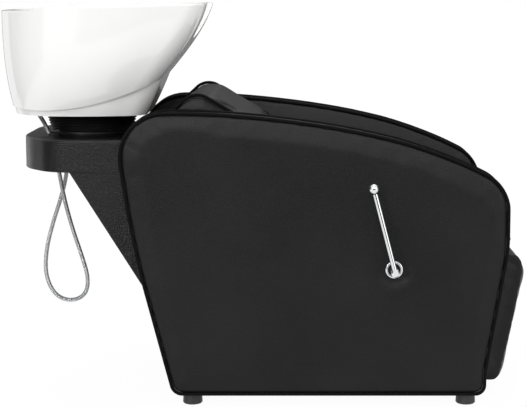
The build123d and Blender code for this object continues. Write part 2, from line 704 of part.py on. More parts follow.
with BuildPart() as push_link:
    with BuildSketch(Plane.XZ.offset(link_inner)):
        link_start = Vector(LEVER_X, crank_pin_z)
        link_end = Vector(link_pin_x, link_pin_z)
        with Locations((link_start + link_end) / 2):
            SlotCenterToCenter(
                (link_end - link_start).length, 2 * LINK_HALF,
                rotation=degrees(atan2(link_pin_z - crank_pin_z, link_pin_x - LEVER_X)),
            )
        with Locations((LEVER_X, crank_pin_z)):
            Circle(LINK_PIN_RADIUS + RUNNING_GAP, mode=Mode.SUBTRACT)
        with Locations((link_pin_x, link_pin_z)):
            Circle(LINK_PIN_RADIUS + LINK_PIN_GAP, mode=Mode.SUBTRACT)
    extrude(amount=LINK_PLATE)
save(push_link.part, "push_link")

with BuildPart() as lever_support:
    with BuildSketch(Plane.XZ.offset(support_inner)):
        with BuildLine():
            Polyline(
                (LEVER_X - SUPPORT_HALF, SEAT_BOARD_Z),
                (LEVER_X + SUPPORT_HALF, SEAT_BOARD_Z),
                (LEVER_X + CRANK_RADIUS, LEVER_Z),
                (LEVER_X - CRANK_RADIUS, LEVER_Z),
                close=True,
            )
        make_face()
        with Locations(lever_spot):
            Circle(CRANK_RADIUS)
            Circle(SHAFT_RADIUS + RUNNING_GAP, mode=Mode.SUBTRACT)
    extrude(amount=SUPPORT_PLATE)
    with BuildSketch(Plane.XY.offset(SEAT_BOARD_Z)):
        with Locations((LEVER_X, -support_inner + SUPPORT_HALF / 2)):
            Rectangle(2 * SUPPORT_HALF, SUPPORT_HALF)
    extrude(amount=-PLATE)
save(lever_support.part, "lever_support")

# Rear casing: a moulded tray with a deep rim, and the tail shell that closes the space below it
TRAY_TOP_Z = 624.0
TRAY_DEPTH = 77.0
TRAY_SIDE_GAP = 1.5
TRAY_REAR_X = -747.0
TRAY_FRONT_X = -372.0
TRAY_WALL = 4.0
TRAY_EDGE = 6.0
CASING_WALL = 4.0
CASING_INSET = 3.0
BELLOWS_X = -593.0
BELLOWS_TOP_RADIUS = 111.0
BELLOWS_BASE_RADIUS = 99.0
BELLOWS_TOP_Z = 680.0
HOSE_HOLE_X = -688.0
HOSE_HOLE_Y = -60.0
HOSE_HOLE_RADIUS = 17.0
# Tray plan corners from the rear: shares of its length forward, and of its half width outward
TRAY_PLAN_SHARES = (
    (0.0, -0.40, 0.40),
    (0.055, -0.66, 0.40),
    (0.23, -1.0, 0.42),
    (1.0, -1.0, 0.02),
    (1.0, 1.0, 0.02),
    (0.23, 1.0, 0.42),
    (0.055, 0.66, 0.40),
    (0.0, 0.40, 0.40),
)
tray_half = ARM_INNER - TRAY_SIDE_GAP
tray_length = TRAY_FRONT_X - TRAY_REAR_X
tray_points = placed(TRAY_REAR_X, 0, tray_length, tray_half, TRAY_PLAN_SHARES)
tray_face = rounded_face(tray_points, rounding(TRAY_PLAN_SHARES))
bellows_bore = BELLOWS_BASE_RADIUS - 2 * TRAY_EDGE
with BuildPart() as tray_cover:
    with BuildSketch(Plane.XY.offset(TRAY_TOP_Z)):
        add(tray_face)
    extrude(amount=-TRAY_DEPTH)
    fillet(tray_cover.faces().sort_by(Axis.Z)[-1].edges(), radius=TRAY_EDGE)
    with BuildSketch(Plane.XY.offset(TRAY_TOP_Z - TRAY_WALL)):
        add(tray_face)
        offset(amount=-TRAY_WALL)
        with Locations((TRAY_FRONT_X, 0)):
            Rectangle(4 * TRAY_WALL, 2 * (tray_half - TRAY_WALL))
    extrude(amount=-TRAY_DEPTH, mode=Mode.SUBTRACT)
    with BuildSketch(Plane.XY.offset(TRAY_TOP_Z)):
        with Locations((BELLOWS_X, 0)):
            Circle(bellows_bore)
        with Locations((HOSE_HOLE_X, HOSE_HOLE_Y)):
            Circle(HOSE_HOLE_RADIUS)
    extrude(amount=-2 * TRAY_WALL, mode=Mode.SUBTRACT)
save(tray_cover.part, "tray_cover")

# Tail shell's side view: under the tray it runs down and forward, then down between the arms
TAIL_TOP_X = -618.0
TAIL_KNEE_X = -424.0
TAIL_KNEE_Z = 236.0
TAIL_FOOT_X = -364.0
TAIL_FOOT_Z = 44.0
TAIL_LAP = 12.0
TAIL_LEAN = 31.2
tail_half = tray_half - TRAY_WALL - SEAT_GAP
tray_bottom_z = TRAY_TOP_Z - TRAY_DEPTH
tail_top_z = tray_bottom_z + TAIL_LAP
tail_lap_x = TAIL_TOP_X + SOFT_GAP
tail_line = [
    (tail_lap_x, tail_top_z),
    (tail_lap_x, tray_bottom_z),
    (TAIL_KNEE_X, TAIL_KNEE_Z),
    (TAIL_FOOT_X, TAIL_FOOT_Z),
]
TAIL_FRONT_X = -352.0
inner_line = [(x + CASING_WALL / cos(radians(TAIL_LEAN)), z) for x, z in tail_line]
with BuildPart() as rear_casing:
    with BuildSketch(Plane.XZ):
        with BuildLine():
            Polyline(*tail_line, (TAIL_FRONT_X, TAIL_FOOT_Z), (TAIL_FRONT_X, tail_top_z), close=True)
        make_face()
    extrude(amount=tail_half, both=True)
    with BuildSketch(Plane.XZ):
        Polygon(
            (inner_line[0][0], tail_top_z + OVERRUN),
            *inner_line[1:3],
            (inner_line[3][0], TAIL_FOOT_Z - OVERRUN),
            (TAIL_FRONT_X + OVERRUN, TAIL_FOOT_Z - OVERRUN),
            (TAIL_FRONT_X + OVERRUN, tail_top_z + OVERRUN),
            align=None,
        )
    extrude(amount=tail_half - CASING_WALL, both=True, mode=Mode.SUBTRACT)
save(rear_casing.part, "rear_casing")

# Steel column behind the seat, with two cantilever arms that carry the bowl's tilt joint
COLUMN_HALF = 65.0
COLUMN_DEPTH = 40.0
COLUMN_WALL = 3.0
COLUMN_FOOT_Z = 105.0
ARM_TUBE_WIDTH = 25.0
ARM_TUBE_DEPTH = 36.0
ARM_TUBE_TOP_Z = 586.0
ARM_TUBE_END_X = -604.0
TILT_X = -593.0
TILT_Z = 642.0
TILT_PIN_RADIUS = 8.0
TILT_PIN_LENGTH = 20.0
TILT_EAR_RADIUS = 16.0
TILT_EAR_PLATE = 6.0
POST_RADIUS = 7.0
POST_SHARES = (0.20, 0.45)
column_front_x = REAR_RAIL_X - RAIL_WIDTH / 2
column_rear_x = column_front_x - COLUMN_DEPTH
arm_tube_middle = COLUMN_HALF - ARM_TUBE_WIDTH / 2
arm_tube_length = column_rear_x - ARM_TUBE_END_X
arm_tube_bottom = ARM_TUBE_TOP_Z - ARM_TUBE_DEPTH
fork_inner = COLUMN_HALF - TILT_EAR_PLATE
post_places = [
    (column_rear_x - share * arm_tube_length, side * arm_tube_middle)
    for share in POST_SHARES for side, hand in SIDES
]
with BuildPart() as bowl_column:
    with BuildSketch(Plane.XY.offset(COLUMN_FOOT_Z)):
        with Locations((column_front_x - COLUMN_DEPTH / 2, 0)):
            RectangleRounded(COLUMN_DEPTH, 2 * COLUMN_HALF, 2 * COLUMN_WALL)
            offset(amount=-COLUMN_WALL, mode=Mode.SUBTRACT)
    extrude(amount=ARM_TUBE_TOP_Z - COLUMN_FOOT_Z)
save(bowl_column.part, "bowl_column")

with BuildPart() as bowl_arms:
    for side, hand in SIDES:
        with BuildSketch(Plane.YZ.offset(column_rear_x)):
            with Locations((side * arm_tube_middle, ARM_TUBE_TOP_Z - ARM_TUBE_DEPTH / 2)):
                RectangleRounded(ARM_TUBE_WIDTH, ARM_TUBE_DEPTH, 2 * COLUMN_WALL)
        extrude(amount=-arm_tube_length)
        with BuildSketch(Plane.XZ.offset(-side * fork_inner)):
            with Locations((TILT_X, TILT_Z)):
                Circle(TILT_EAR_RADIUS)
            with Locations((TILT_X, arm_tube_bottom + TILT_EAR_RADIUS)):
                Rectangle(
                    2 * TILT_EAR_RADIUS, TILT_Z - arm_tube_bottom - TILT_EAR_RADIUS,
                    align=(Align.CENTER, Align.MIN),
                )
        extrude(amount=-side * TILT_EAR_PLATE)
        with BuildSketch(Plane.XZ.offset(-side * arm_tube_middle)):
            Polygon(
                (column_rear_x, arm_tube_bottom),
                (column_rear_x, arm_tube_bottom - 2 * ARM_TUBE_DEPTH),
                (column_rear_x - 2 * ARM_TUBE_DEPTH, arm_tube_bottom),
                align=None,
            )
        extrude(amount=TILT_EAR_PLATE / 2, both=True)
    # Posts on which the tray lies
    with BuildSketch(Plane.XY.offset(ARM_TUBE_TOP_Z - COLUMN_WALL)):
        with Locations(*post_places):
            Circle(POST_RADIUS)
    extrude(amount=TRAY_TOP_Z - TRAY_WALL - ARM_TUBE_TOP_Z + COLUMN_WALL - SEAT_GAP)
    with BuildSketch(Plane.XZ):
        with Locations((TILT_X, TILT_Z)):
            Circle(TILT_PIN_RADIUS + RUNNING_GAP)
    extrude(amount=COLUMN_HALF + OVERRUN, both=True, mode=Mode.SUBTRACT)
save(bowl_arms.part, "bowl_arms")

with BuildPart() as tilt_pins:
    for side, hand in SIDES:
        with BuildSketch(Plane.XZ.offset(-side * COLUMN_HALF)):
            with Locations((TILT_X, TILT_Z)):
                Circle(TILT_PIN_RADIUS)
        extrude(amount=side * TILT_PIN_LENGTH)
        with BuildSketch(Plane.XZ.offset(-side * COLUMN_HALF)):
            with Locations((TILT_X, TILT_Z)):
                RegularPolygon(TILT_PIN_RADIUS + PIN_HEAD, 6)
        extrude(amount=-side * 2 * PIN_HEAD)
save(tilt_pins.part, "tilt_pins")

# Straps that hold the tail shell to the column
STRAP_THICKNESS = 3.0
STRAP_HALF = 14.0
STRAP_FLANGE = 24.0
STRAP_HEIGHTS = (180.0, 440.0)


def tail_inner_x(height):
    """Rear end of the space inside the tail shell at a height."""
    lower, upper = (inner_line[3], inner_line[2]) if height < TAIL_KNEE_Z else (inner_line[2], inner_line[1])
    return lower[0] + (upper[0] - lower[0]) * (height - lower[1]) / (upper[1] - lower[1])


with BuildPart() as casing_straps:
    for height in STRAP_HEIGHTS:
        low_x = tail_inner_x(height - STRAP_FLANGE)
        top_x = tail_inner_x(height)
        with BuildSketch(Plane.XZ):
            Polygon(
                (column_rear_x, height),
                (top_x, height),
                (low_x, height - STRAP_FLANGE),
                (low_x + STRAP_THICKNESS, height - STRAP_FLANGE),
                (top_x + 2 * STRAP_THICKNESS, height - STRAP_THICKNESS),
                (column_rear_x - STRAP_THICKNESS, height - STRAP_THICKNESS),
                (column_rear_x - STRAP_THICKNESS, height - STRAP_FLANGE),
                (column_rear_x, height - STRAP_FLANGE),
                align=None,
            )
        extrude(amount=STRAP_HALF, both=True)
save(casing_straps.part, "casing_straps")

# Bolts through the rails' end plates into the cores
with BuildPart() as rail_bolts_set:
    for side, hand in SIDES:
        with BuildSketch(Plane.XZ.offset(-side * (rail_half - PLATE - BOLT_HEAD))):
            with Locations(*rail_bolts):
                RegularPolygon(BOLT_HEAD_RADIUS, 6)
        extrude(amount=-side * BOLT_HEAD)
        with BuildSketch(Plane.XZ.offset(-side * (rail_half - PLATE))):
            with Locations(*rail_bolts):
                Circle(BOLT_RADIUS)
        extrude(amount=-side * (PLATE + FOAM_THICKNESS + BOLT_REACH))
save(rail_bolts_set.part, "rail_bolts")

# Porcelain bowl: a flaring basin over a skirt, with a low tap ledge behind and a neck recess in front
BOWL_BASE_Z = 673.0
BOWL_FLOOR_Z = 722.0
BOWL_FLOOR = 16.0
LEDGE_Z = 850.0
LEDGE_THICKNESS = 12.0
BASIN_TOP_Z = 962.0
CORNER_SHARE = 0.3
NECK_TURN_SHARES = (0.0, 0.42, 0.42, 0.0)
# Plan corners of the bowl: shares of its length from the rear, and of its half width
BOWL_PLAN_SHARES = (
    (0.0, -0.46, 0.44),
    (0.22, -0.94, 0.46),
    (0.62, -1.0, 0.46),
    (1.0, -0.80, 0.30),
    (1.0, 0.80, 0.30),
    (0.62, 1.0, 0.46),
    (0.22, 0.94, 0.46),
    (0.0, 0.46, 0.44),
)
# Rear end, front end and half width of the outside at each height, as real sizes
BASIN_SECTIONS = (
    (BOWL_BASE_Z, -779.0, -486.0, 168.0),
    (725.0, -790.0, -441.0, 197.0),
    (790.0, -799.0, -386.0, 223.0),
    (870.0, -804.0, -328.0, 240.0),
    (BASIN_TOP_Z, -805.0, -289.0, 247.0),
)
SKIRT_SECTIONS = (
    (BOWL_BASE_Z, -776.0, -447.0, 163.0),
    (730.0, -787.0, -420.0, 181.0),
    (790.0, -795.0, -396.0, 196.0),
)
# The same for the hollows: the hair well, the open top over the ledge, the underside and the tap space
WELL_SECTIONS = (
    (BOWL_FLOOR_Z, -676.0, -482.0, 122.0),
    (765.0, -697.0, -424.0, 190.0),
    (852.0, -703.0, -356.0, 218.0),
)
TOP_SECTIONS = (
    (LEDGE_Z, -789.0, -356.0, 218.0),
    (900.0, -791.0, -325.0, 229.0),
    (BASIN_TOP_Z, -792.0, -302.0, 234.0),
)
UNDER_SECTIONS = (
    (BOWL_BASE_Z - OVERRUN, -750.0, -462.0, 144.0),
    (BOWL_FLOOR_Z - BOWL_FLOOR, -761.0, -447.0, 154.0),
)
TAP_SPACE_SECTIONS = (
    (BOWL_BASE_Z - OVERRUN, -752.0, -698.0, 60.0),
    (LEDGE_Z - LEDGE_THICKNESS, -783.0, -716.0, 88.0),
)
# Lower edge of the bulging basin: a sagging line, lowest near the rear
CREASE_LINE = ((-840.0, 702.0), (-740.0, 689.0), (-640.0, 691.0), (-560.0, 705.0), (-498.0, 724.0), (-380.0, 774.0))
CREASE_REAR_X = CREASE_LINE[0][0]
RIM_LOW_Z = 928.0
RIM_STEP_X = -712.0
RIM_STEP_LENGTH = 34.0
RIM_STEP_TOP_Z = 938.0
RIM_HORN_Z = 945.0
RIM_ROUNDING = 4.0
NECK_BOTTOM_Z = 858.0
NECK_BOTTOM_HALF = 62.0
NECK_TOP_HALF = 140.0
NECK_DEPTH = 120.0
DRAIN_X = -580.0
DRAIN_RADIUS = 22.0
TAP_X = -748.0
MIXER_Y = 55.0
SPRAY_Y = -60.0
MIXER_SHANK_RADIUS = 16.5
HOLDER_SHANK_RADIUS = 12.0
TILT_STUD_RADIUS = 4.0
TILT_STUD_DEPTH = 9.0
TILT_PLATE_REAR_X = -690.0
TILT_PLATE_FRONT_X = -500.0
TILT_PLATE_HALF = 92.0
stud_places = [
    (x, y)
    for x in (TILT_PLATE_REAR_X + 2 * STRAP_HALF, TILT_PLATE_FRONT_X - STRAP_HALF)
    for y in (-TILT_PLATE_HALF + STRAP_HALF, TILT_PLATE_HALF - STRAP_HALF)
]
bowl_under_z = BOWL_FLOOR_Z - BOWL_FLOOR


def bowl_face(rear, front, half):
    """Egg-shaped plan of the bowl between two ends."""
    return rounded_face(placed(rear, 0, front - rear, half, BOWL_PLAN_SHARES), rounding(BOWL_PLAN_SHARES))


with BuildPart() as bowl:
    for height, rear, front, half in BASIN_SECTIONS:
        with BuildSketch(Plane.XY.offset(height)):
            add(bowl_face(rear, front, half))
    loft()
    with BuildSketch(Plane.XZ):
        with BuildLine():
            Spline(*CREASE_LINE)
            Polyline(CREASE_LINE[-1], (0, CREASE_LINE[-1][1]), (0, 0), (CREASE_REAR_X, 0), CREASE_LINE[0])
        make_face()
    extrude(amount=BODY_WIDTH, both=True, mode=Mode.SUBTRACT)
    for height, rear, front, half in SKIRT_SECTIONS:
        with BuildSketch(Plane.XY.offset(height)):
            add(bowl_face(rear, front, half))
    loft()
    # Rim: a low stretch round the ledge, a short step, then a line that rises to the horns
    with BuildSketch(Plane.XZ):
        Polygon(
            (2 * CREASE_REAR_X, RIM_LOW_Z),
            (RIM_STEP_X, RIM_LOW_Z),
            (RIM_STEP_X + RIM_STEP_LENGTH, RIM_STEP_TOP_Z),
            (BASIN_SECTIONS[-1][2], RIM_HORN_Z),
            (0, RIM_HORN_Z),
            (0, 2 * BASIN_TOP_Z),
            (2 * CREASE_REAR_X, 2 * BASIN_TOP_Z),
            align=None,
        )
    extrude(amount=BODY_WIDTH, both=True, mode=Mode.SUBTRACT)
    for sections in (WELL_SECTIONS, TOP_SECTIONS):
        for height, rear, front, half in sections:
            with BuildSketch(Plane.XY.offset(height)):
                add(bowl_face(rear, front, half))
        loft(mode=Mode.SUBTRACT)
    for sections in (UNDER_SECTIONS, TAP_SPACE_SECTIONS):
        for height, rear, front, half in sections:
            with BuildSketch(Plane.XY.offset(height)):
                with Locations(((rear + front) / 2, 0)):
                    RectangleRounded(front - rear, 2 * half, min(front - rear, 2 * half) * CORNER_SHARE)
        loft(mode=Mode.SUBTRACT)
    # Neck recess, drain hole, tap holes and the studs' holes
    with BuildSketch(Plane.YZ.offset(BASIN_SECTIONS[-1][2] - NECK_DEPTH)):
        neck_points = [
            (-NECK_TOP_HALF, BASIN_TOP_Z),
            (-NECK_BOTTOM_HALF, NECK_BOTTOM_Z),
            (NECK_BOTTOM_HALF, NECK_BOTTOM_Z),
            (NECK_TOP_HALF, BASIN_TOP_Z),
        ]
        add(rounded_face(neck_points, NECK_TURN_SHARES))
    extrude(amount=2 * NECK_DEPTH, mode=Mode.SUBTRACT)
    rim_edges = bowl.edges().filter_by(lambda edge: edge.center().Z > RIM_LOW_Z - RIM_ROUNDING)
    fillet(rim_edges, radius=RIM_ROUNDING)
    with BuildSketch(Plane.XY.offset(BOWL_FLOOR_Z + BOWL_FLOOR)):
        with Locations((DRAIN_X, 0)):
            Circle(DRAIN_RADIUS)
    extrude(amount=-3 * BOWL_FLOOR, mode=Mode.SUBTRACT)
    with BuildSketch(Plane.XY.offset(LEDGE_Z + LEDGE_THICKNESS)):
        with Locations((TAP_X, MIXER_Y)):
            Circle(MIXER_SHANK_RADIUS + SOFT_GAP)
        with Locations((TAP_X, SPRAY_Y)):
            Circle(HOLDER_SHANK_RADIUS + SOFT_GAP)
    extrude(amount=-3 * LEDGE_THICKNESS, mode=Mode.SUBTRACT)
    with BuildSketch(Plane.XY.offset(bowl_under_z)):
        with Locations(*stud_places):
            Circle(TILT_STUD_RADIUS + SEAT_GAP)
    extrude(amount=TILT_STUD_DEPTH + SOFT_GAP, mode=Mode.SUBTRACT)
save(bowl.part, "bowl")

# Tilt plate: a flanged steel plate studded to the porcelain, with two ears on the tilt pins
TILT_PLATE = 4.0
DRAIN_CLEAR_RADIUS = 36.0
NUT_RADIUS = 7.0
NUT_HEIGHT = 6.0
tilt_plate_top = bowl_under_z - SEAT_GAP
tilt_plate_length = TILT_PLATE_FRONT_X - TILT_PLATE_REAR_X
ear_outer = fork_inner - RUNNING_GAP
with BuildPart() as tilt_plate:
    with BuildSketch(Plane.XY.offset(tilt_plate_top)):
        with Locations((TILT_PLATE_REAR_X + tilt_plate_length / 2, 0)):
            RectangleRounded(tilt_plate_length, 2 * TILT_PLATE_HALF, 2 * NUT_RADIUS)
        with Locations((DRAIN_X, 0)):
            Circle(DRAIN_CLEAR_RADIUS, mode=Mode.SUBTRACT)
        with Locations(*stud_places):
            Circle(TILT_STUD_RADIUS + SEAT_GAP, mode=Mode.SUBTRACT)
    extrude(amount=-TILT_PLATE)
    for side, hand in SIDES:
        with BuildSketch(Plane.XZ.offset(-side * ear_outer)):
            Polygon(
                (TILT_X - 2 * TILT_EAR_RADIUS, tilt_plate_top - TILT_PLATE / 2),
                (TILT_X + 2 * TILT_EAR_RADIUS, tilt_plate_top - TILT_PLATE / 2),
                (TILT_X + TILT_EAR_RADIUS, TILT_Z),
                (TILT_X - TILT_EAR_RADIUS, TILT_Z),
                align=None,
            )
            with Locations((TILT_X, TILT_Z)):
                Circle(TILT_EAR_RADIUS)
                Circle(TILT_PIN_RADIUS + RUNNING_GAP, mode=Mode.SUBTRACT)
        extrude(amount=side * TILT_EAR_PLATE)
save(tilt_plate.part, "tilt_plate")

with BuildPart() as bowl_studs:
    with BuildSketch(Plane.XY.offset(bowl_under_z + TILT_STUD_DEPTH)):
        with Locations(*stud_places):
            Circle(TILT_STUD_RADIUS)
    extrude(amount=-TILT_STUD_DEPTH - TILT_PLATE - 2 * NUT_HEIGHT)
    with BuildSketch(Plane.XY.offset(tilt_plate_top - TILT_PLATE)):
        with Locations(*stud_places):
            RegularPolygon(NUT_RADIUS, 6)
    extrude(amount=-NUT_HEIGHT)
save(bowl_studs.part, "bowl_studs")

# Rubber gaiter between the tray and the bowl
BELLOWS_RIBS = 7
BELLOWS_SKIN = 2.0
BELLOWS_FOLD = 5.0
BELLOWS_CUFF = 4.0
# A rib's rings: shares of its pitch up it, and of the fold's depth out from the wall
BELLOWS_RIB_SHARES = ((0.0, 0.0), (0.3, 1.0), (0.6, 1.0), (0.9, 0.0))
bellows_base_z = TRAY_TOP_Z + SOFT_GAP
bellows_pitch = (BELLOWS_TOP_Z - bellows_base_z - 2 * BELLOWS_CUFF) / BELLOWS_RIBS


def bellows_rings(inset):
    """Radius and height of each ring of the gaiter: four to a rib, between two plain cuffs."""
    rings = [(BELLOWS_BASE_RADIUS - inset, bellows_base_z)]
    for rib in range(BELLOWS_RIBS):
        low = bellows_base_z + BELLOWS_CUFF + rib * bellows_pitch
        swell = BELLOWS_BASE_RADIUS + (BELLOWS_TOP_RADIUS - BELLOWS_BASE_RADIUS) * rib / BELLOWS_RIBS
        for rise_share, fold_share in BELLOWS_RIB_SHARES:
            rings.append((swell + fold_share * BELLOWS_FOLD - inset, low + rise_share * bellows_pitch))
    rings.append((BELLOWS_TOP_RADIUS - inset, BELLOWS_TOP_Z - BELLOWS_CUFF))
    rings.append((BELLOWS_TOP_RADIUS - inset, BELLOWS_TOP_Z))
    return rings


with BuildPart() as bellows:
    for inset, fold_mode in ((0, Mode.ADD), (BELLOWS_SKIN, Mode.SUBTRACT)):
        for ring_radius, ring_z in bellows_rings(inset):
            with BuildSketch(Plane.XY.offset(ring_z)):
                with Locations((BELLOWS_X, 0)):
                    Circle(ring_radius)
        loft(ruled=True, mode=fold_mode)
save(bellows.part, "bellows")

# Waste: flange and tail through the drain hole, its nut, the lift-out strainer and the hose to the outlet
WASTE_FLANGE_RADIUS = 35.0
WASTE_FLANGE_THICKNESS = 2.5
FLANGE_TAPER = 30.0
WASTE_TAIL_RADIUS = 20.0
WASTE_BORE_RADIUS = 16.0
WASTE_TAIL_Z = 655.0
WASTE_NUT_RADIUS = 30.0
WASTE_NUT_HEIGHT = 14.0
STRAINER_RADIUS = 28.0
STRAINER_THICKNESS = 2.0
STRAINER_HOLES = 12
STRAINER_HOLE_RADIUS = 2.6
STRAINER_KNOB_RADIUS = 5.0
STRAINER_KNOB = 9.0
STRAINER_SKIRT = 8.0
WASTE_HOSE_RADIUS = 18.0
WASTE_HOSE_BORE = 15.0
OUTLET_X = -326.0
OUTLET_Y = 115.0
OUTLET_TOP_Z = 118.0
OUTLET_BOTTOM_Z = 45.0
OUTLET_BORE_RADIUS = 17.0
OUTLET_COLLAR_Z = 75.0
OUTLET_COLLAR = 4.0
waste_flange_top = BOWL_FLOOR_Z + WASTE_FLANGE_THICKNESS
with BuildPart() as waste_flange:
    with BuildSketch(Plane.XY.offset(BOWL_FLOOR_Z)):
        with Locations((DRAIN_X, 0)):
            Circle(WASTE_FLANGE_RADIUS)
    extrude(amount=WASTE_FLANGE_THICKNESS, taper=FLANGE_TAPER)
    with BuildSketch(Plane.XY.offset(BOWL_FLOOR_Z)):
        with Locations((DRAIN_X, 0)):
            Circle(WASTE_TAIL_RADIUS)
    extrude(amount=WASTE_TAIL_Z - BOWL_FLOOR_Z)
    with BuildSketch(Plane.XY.offset(waste_flange_top)):
        with Locations((DRAIN_X, 0)):
            Circle(WASTE_BORE_RADIUS)
    extrude(amount=WASTE_TAIL_Z - waste_flange_top, mode=Mode.SUBTRACT)
save(waste_flange.part, "waste_flange")

with BuildPart() as waste_nut:
    with BuildSketch(Plane.XY.offset(bowl_under_z)):
        with Locations((DRAIN_X, 0)):
            RegularPolygon(WASTE_NUT_RADIUS, 8)
            Circle(WASTE_TAIL_RADIUS + RUNNING_GAP, mode=Mode.SUBTRACT)
    extrude(amount=-WASTE_NUT_HEIGHT)
save(waste_nut.part, "waste_nut")

with BuildPart() as strainer:
    with BuildSketch(Plane.XY.offset(waste_flange_top)):
        with Locations((DRAIN_X, 0)):
            Circle(STRAINER_RADIUS)
            with PolarLocations((WASTE_BORE_RADIUS + 2 * STRAINER_HOLE_RADIUS) / 2, STRAINER_HOLES):
                Circle(STRAINER_HOLE_RADIUS, mode=Mode.SUBTRACT)
    extrude(amount=STRAINER_THICKNESS)
    with BuildSketch(Plane.XY.offset(waste_flange_top)):
        with Locations((DRAIN_X, 0)):
            Circle(WASTE_BORE_RADIUS - RUNNING_GAP)
            Circle(WASTE_BORE_RADIUS - RUNNING_GAP - STRAINER_THICKNESS, mode=Mode.SUBTRACT)
    extrude(amount=-STRAINER_SKIRT)
    with BuildSketch(Plane.XY.offset(waste_flange_top + STRAINER_THICKNESS)):
        with Locations((DRAIN_X, 0)):
            Circle(STRAINER_KNOB_RADIUS)
    extrude(amount=STRAINER_KNOB)
    fillet(strainer.faces().sort_by(Axis.Z)[-1].edges(), radius=STRAINER_KNOB_RADIUS / 2)
save(strainer.part, "strainer")

with BuildPart() as waste_outlet:
    with BuildSketch(Plane.XY.offset(OUTLET_BOTTOM_Z)):
        with Locations((OUTLET_X, OUTLET_Y)):
            Circle(WASTE_TAIL_RADIUS)
    extrude(amount=OUTLET_TOP_Z - OUTLET_BOTTOM_Z)
    # Stop collar for the socket that pushes on from below
    with BuildSketch(Plane.XY.offset(OUTLET_COLLAR_Z)):
        with Locations((OUTLET_X, OUTLET_Y)):
            Circle(WASTE_TAIL_RADIUS + OUTLET_COLLAR)
    extrude(amount=OUTLET_COLLAR)
    with BuildSketch(Plane.XY.offset(REAR_LOW_Z - RAIL_DEPTH / 2)):
        with Locations((column_front_x, OUTLET_Y)):
            Rectangle(column_front_x - OUTLET_X, WASTE_TAIL_RADIUS, align=(Align.MAX, Align.CENTER))
    extrude(amount=-2 * PLATE)
    with BuildSketch(Plane.XY.offset(OUTLET_BOTTOM_Z)):
        with Locations((OUTLET_X, OUTLET_Y)):
            Circle(OUTLET_BORE_RADIUS)
    extrude(amount=OUTLET_TOP_Z - OUTLET_BOTTOM_Z, mode=Mode.SUBTRACT)
save(waste_outlet.part, "waste_outlet")


def hose_path(points):
    """Route of straight runs and tangent arcs, each as large as the runs beside it allow."""
    corners = [Vector(*point) for point in points]
    radii = []
    for before, corner, after in zip(corners, corners[1:], corners[2:]):
        back = before - corner
        ahead = after - corner
        half_turn = radians(180 - back.get_angle(ahead)) / 2
        radii.append(RUN_SHARE * min(back.length, ahead.length) / tan(half_turn))
    print("radii", [round(radius) for radius in radii])
    with BuildLine() as route:
        FilletPolyline(*corners, radius=radii)
    return route.wires()[0]


def hose_check(part, outer, bore, path):
    """Print the tube's volume beside its section times its length."""
    section = pi * (outer ** 2 - bore ** 2)
    print("tube", round(part.volume), round(section * path.length), "length", round(path.length))


RUN_SHARE = 0.45
WASTE_ROUTE = (
    (DRAIN_X, 0, WASTE_TAIL_Z),
    (DRAIN_X, 0, 585.0),
    (-548.0, 14.0, 505.0),
    (-497.0, 48.0, 405.0),
    (-407.0, 98.0, 288.0),
    (-346.0, OUTLET_Y, 215.0),
    (OUTLET_X, OUTLET_Y, 163.0),
    (OUTLET_X, OUTLET_Y, OUTLET_TOP_Z),
)
waste_path = hose_path(WASTE_ROUTE)
with BuildPart() as waste_hose:
    with BuildSketch(Plane(origin=waste_path @ 0, z_dir=waste_path % 0)):
        Circle(WASTE_HOSE_RADIUS)
        Circle(WASTE_HOSE_BORE, mode=Mode.SUBTRACT)
    sweep(path=waste_path)
save(waste_hose.part, "waste_hose")
hose_check(waste_hose.part, WASTE_HOSE_RADIUS, WASTE_HOSE_BORE, waste_path)

# Mixer on the tap ledge: body with shank and tails, a swivelling dome and a lift lever
MIXER_FLANGE_RADIUS = 23.0
MIXER_FLANGE = 4.0
MIXER_BODY_RADIUS = 18.0
MIXER_BODY_TOP_Z = 884.0
MIXER_SHANK_Z = 812.0
MIXER_NUT_RADIUS = 24.0
MIXER_NUT_HEIGHT = 12.0
TAIL_RADIUS = 5.0
TAIL_REACH = 38.0
TAIL_CIRCLE = 9.5
DOME_TOP_Z = 906.0
DOME_SLOT_HALF = 7.5
LEVER_HUB_RADIUS = 6.0
LEVER_HUB_Z = 897.0
LEVER_PIN_RADIUS = 2.5
MIXER_LIFT = 26.0
PADDLE_LENGTH = 62.0
PADDLE_THICKNESS = 5.0
PADDLE_TOP_Z = 914.0
HOSE_RADIUS = 5.25
ledge_under_z = LEDGE_Z - LEDGE_THICKNESS
tail_bottom_z = MIXER_SHANK_Z - TAIL_REACH
dome_base_z = MIXER_BODY_TOP_Z + SEAT_GAP
with BuildPart() as mixer_body:
    with BuildSketch(Plane.XY.offset(LEDGE_Z)):
        with Locations((TAP_X, MIXER_Y)):
            Circle(MIXER_FLANGE_RADIUS)
    extrude(amount=MIXER_FLANGE)
    chamfer(mixer_body.faces().sort_by(Axis.Z)[-1].edges(), length=MIXER_FLANGE / 2)
    with BuildSketch(Plane.XY.offset(LEDGE_Z)):
        with Locations((TAP_X, MIXER_Y)):
            Circle(MIXER_BODY_RADIUS)
    extrude(amount=MIXER_BODY_TOP_Z - LEDGE_Z)
    with BuildSketch(Plane.XY.offset(LEDGE_Z)):
        with Locations((TAP_X, MIXER_Y)):
            Circle(MIXER_SHANK_RADIUS)
    extrude(amount=MIXER_SHANK_Z - LEDGE_Z)
    # The tail at -90 degrees takes the spray hose, the other two the supplies
    with BuildSketch(Plane.XY.offset(MIXER_SHANK_Z)):
        with Locations((TAP_X, MIXER_Y)):
            with PolarLocations(TAIL_CIRCLE, 3, start_angle=-90):
                Circle(TAIL_RADIUS)
    extrude(amount=-TAIL_REACH)
save(mixer_body.part, "mixer_body")

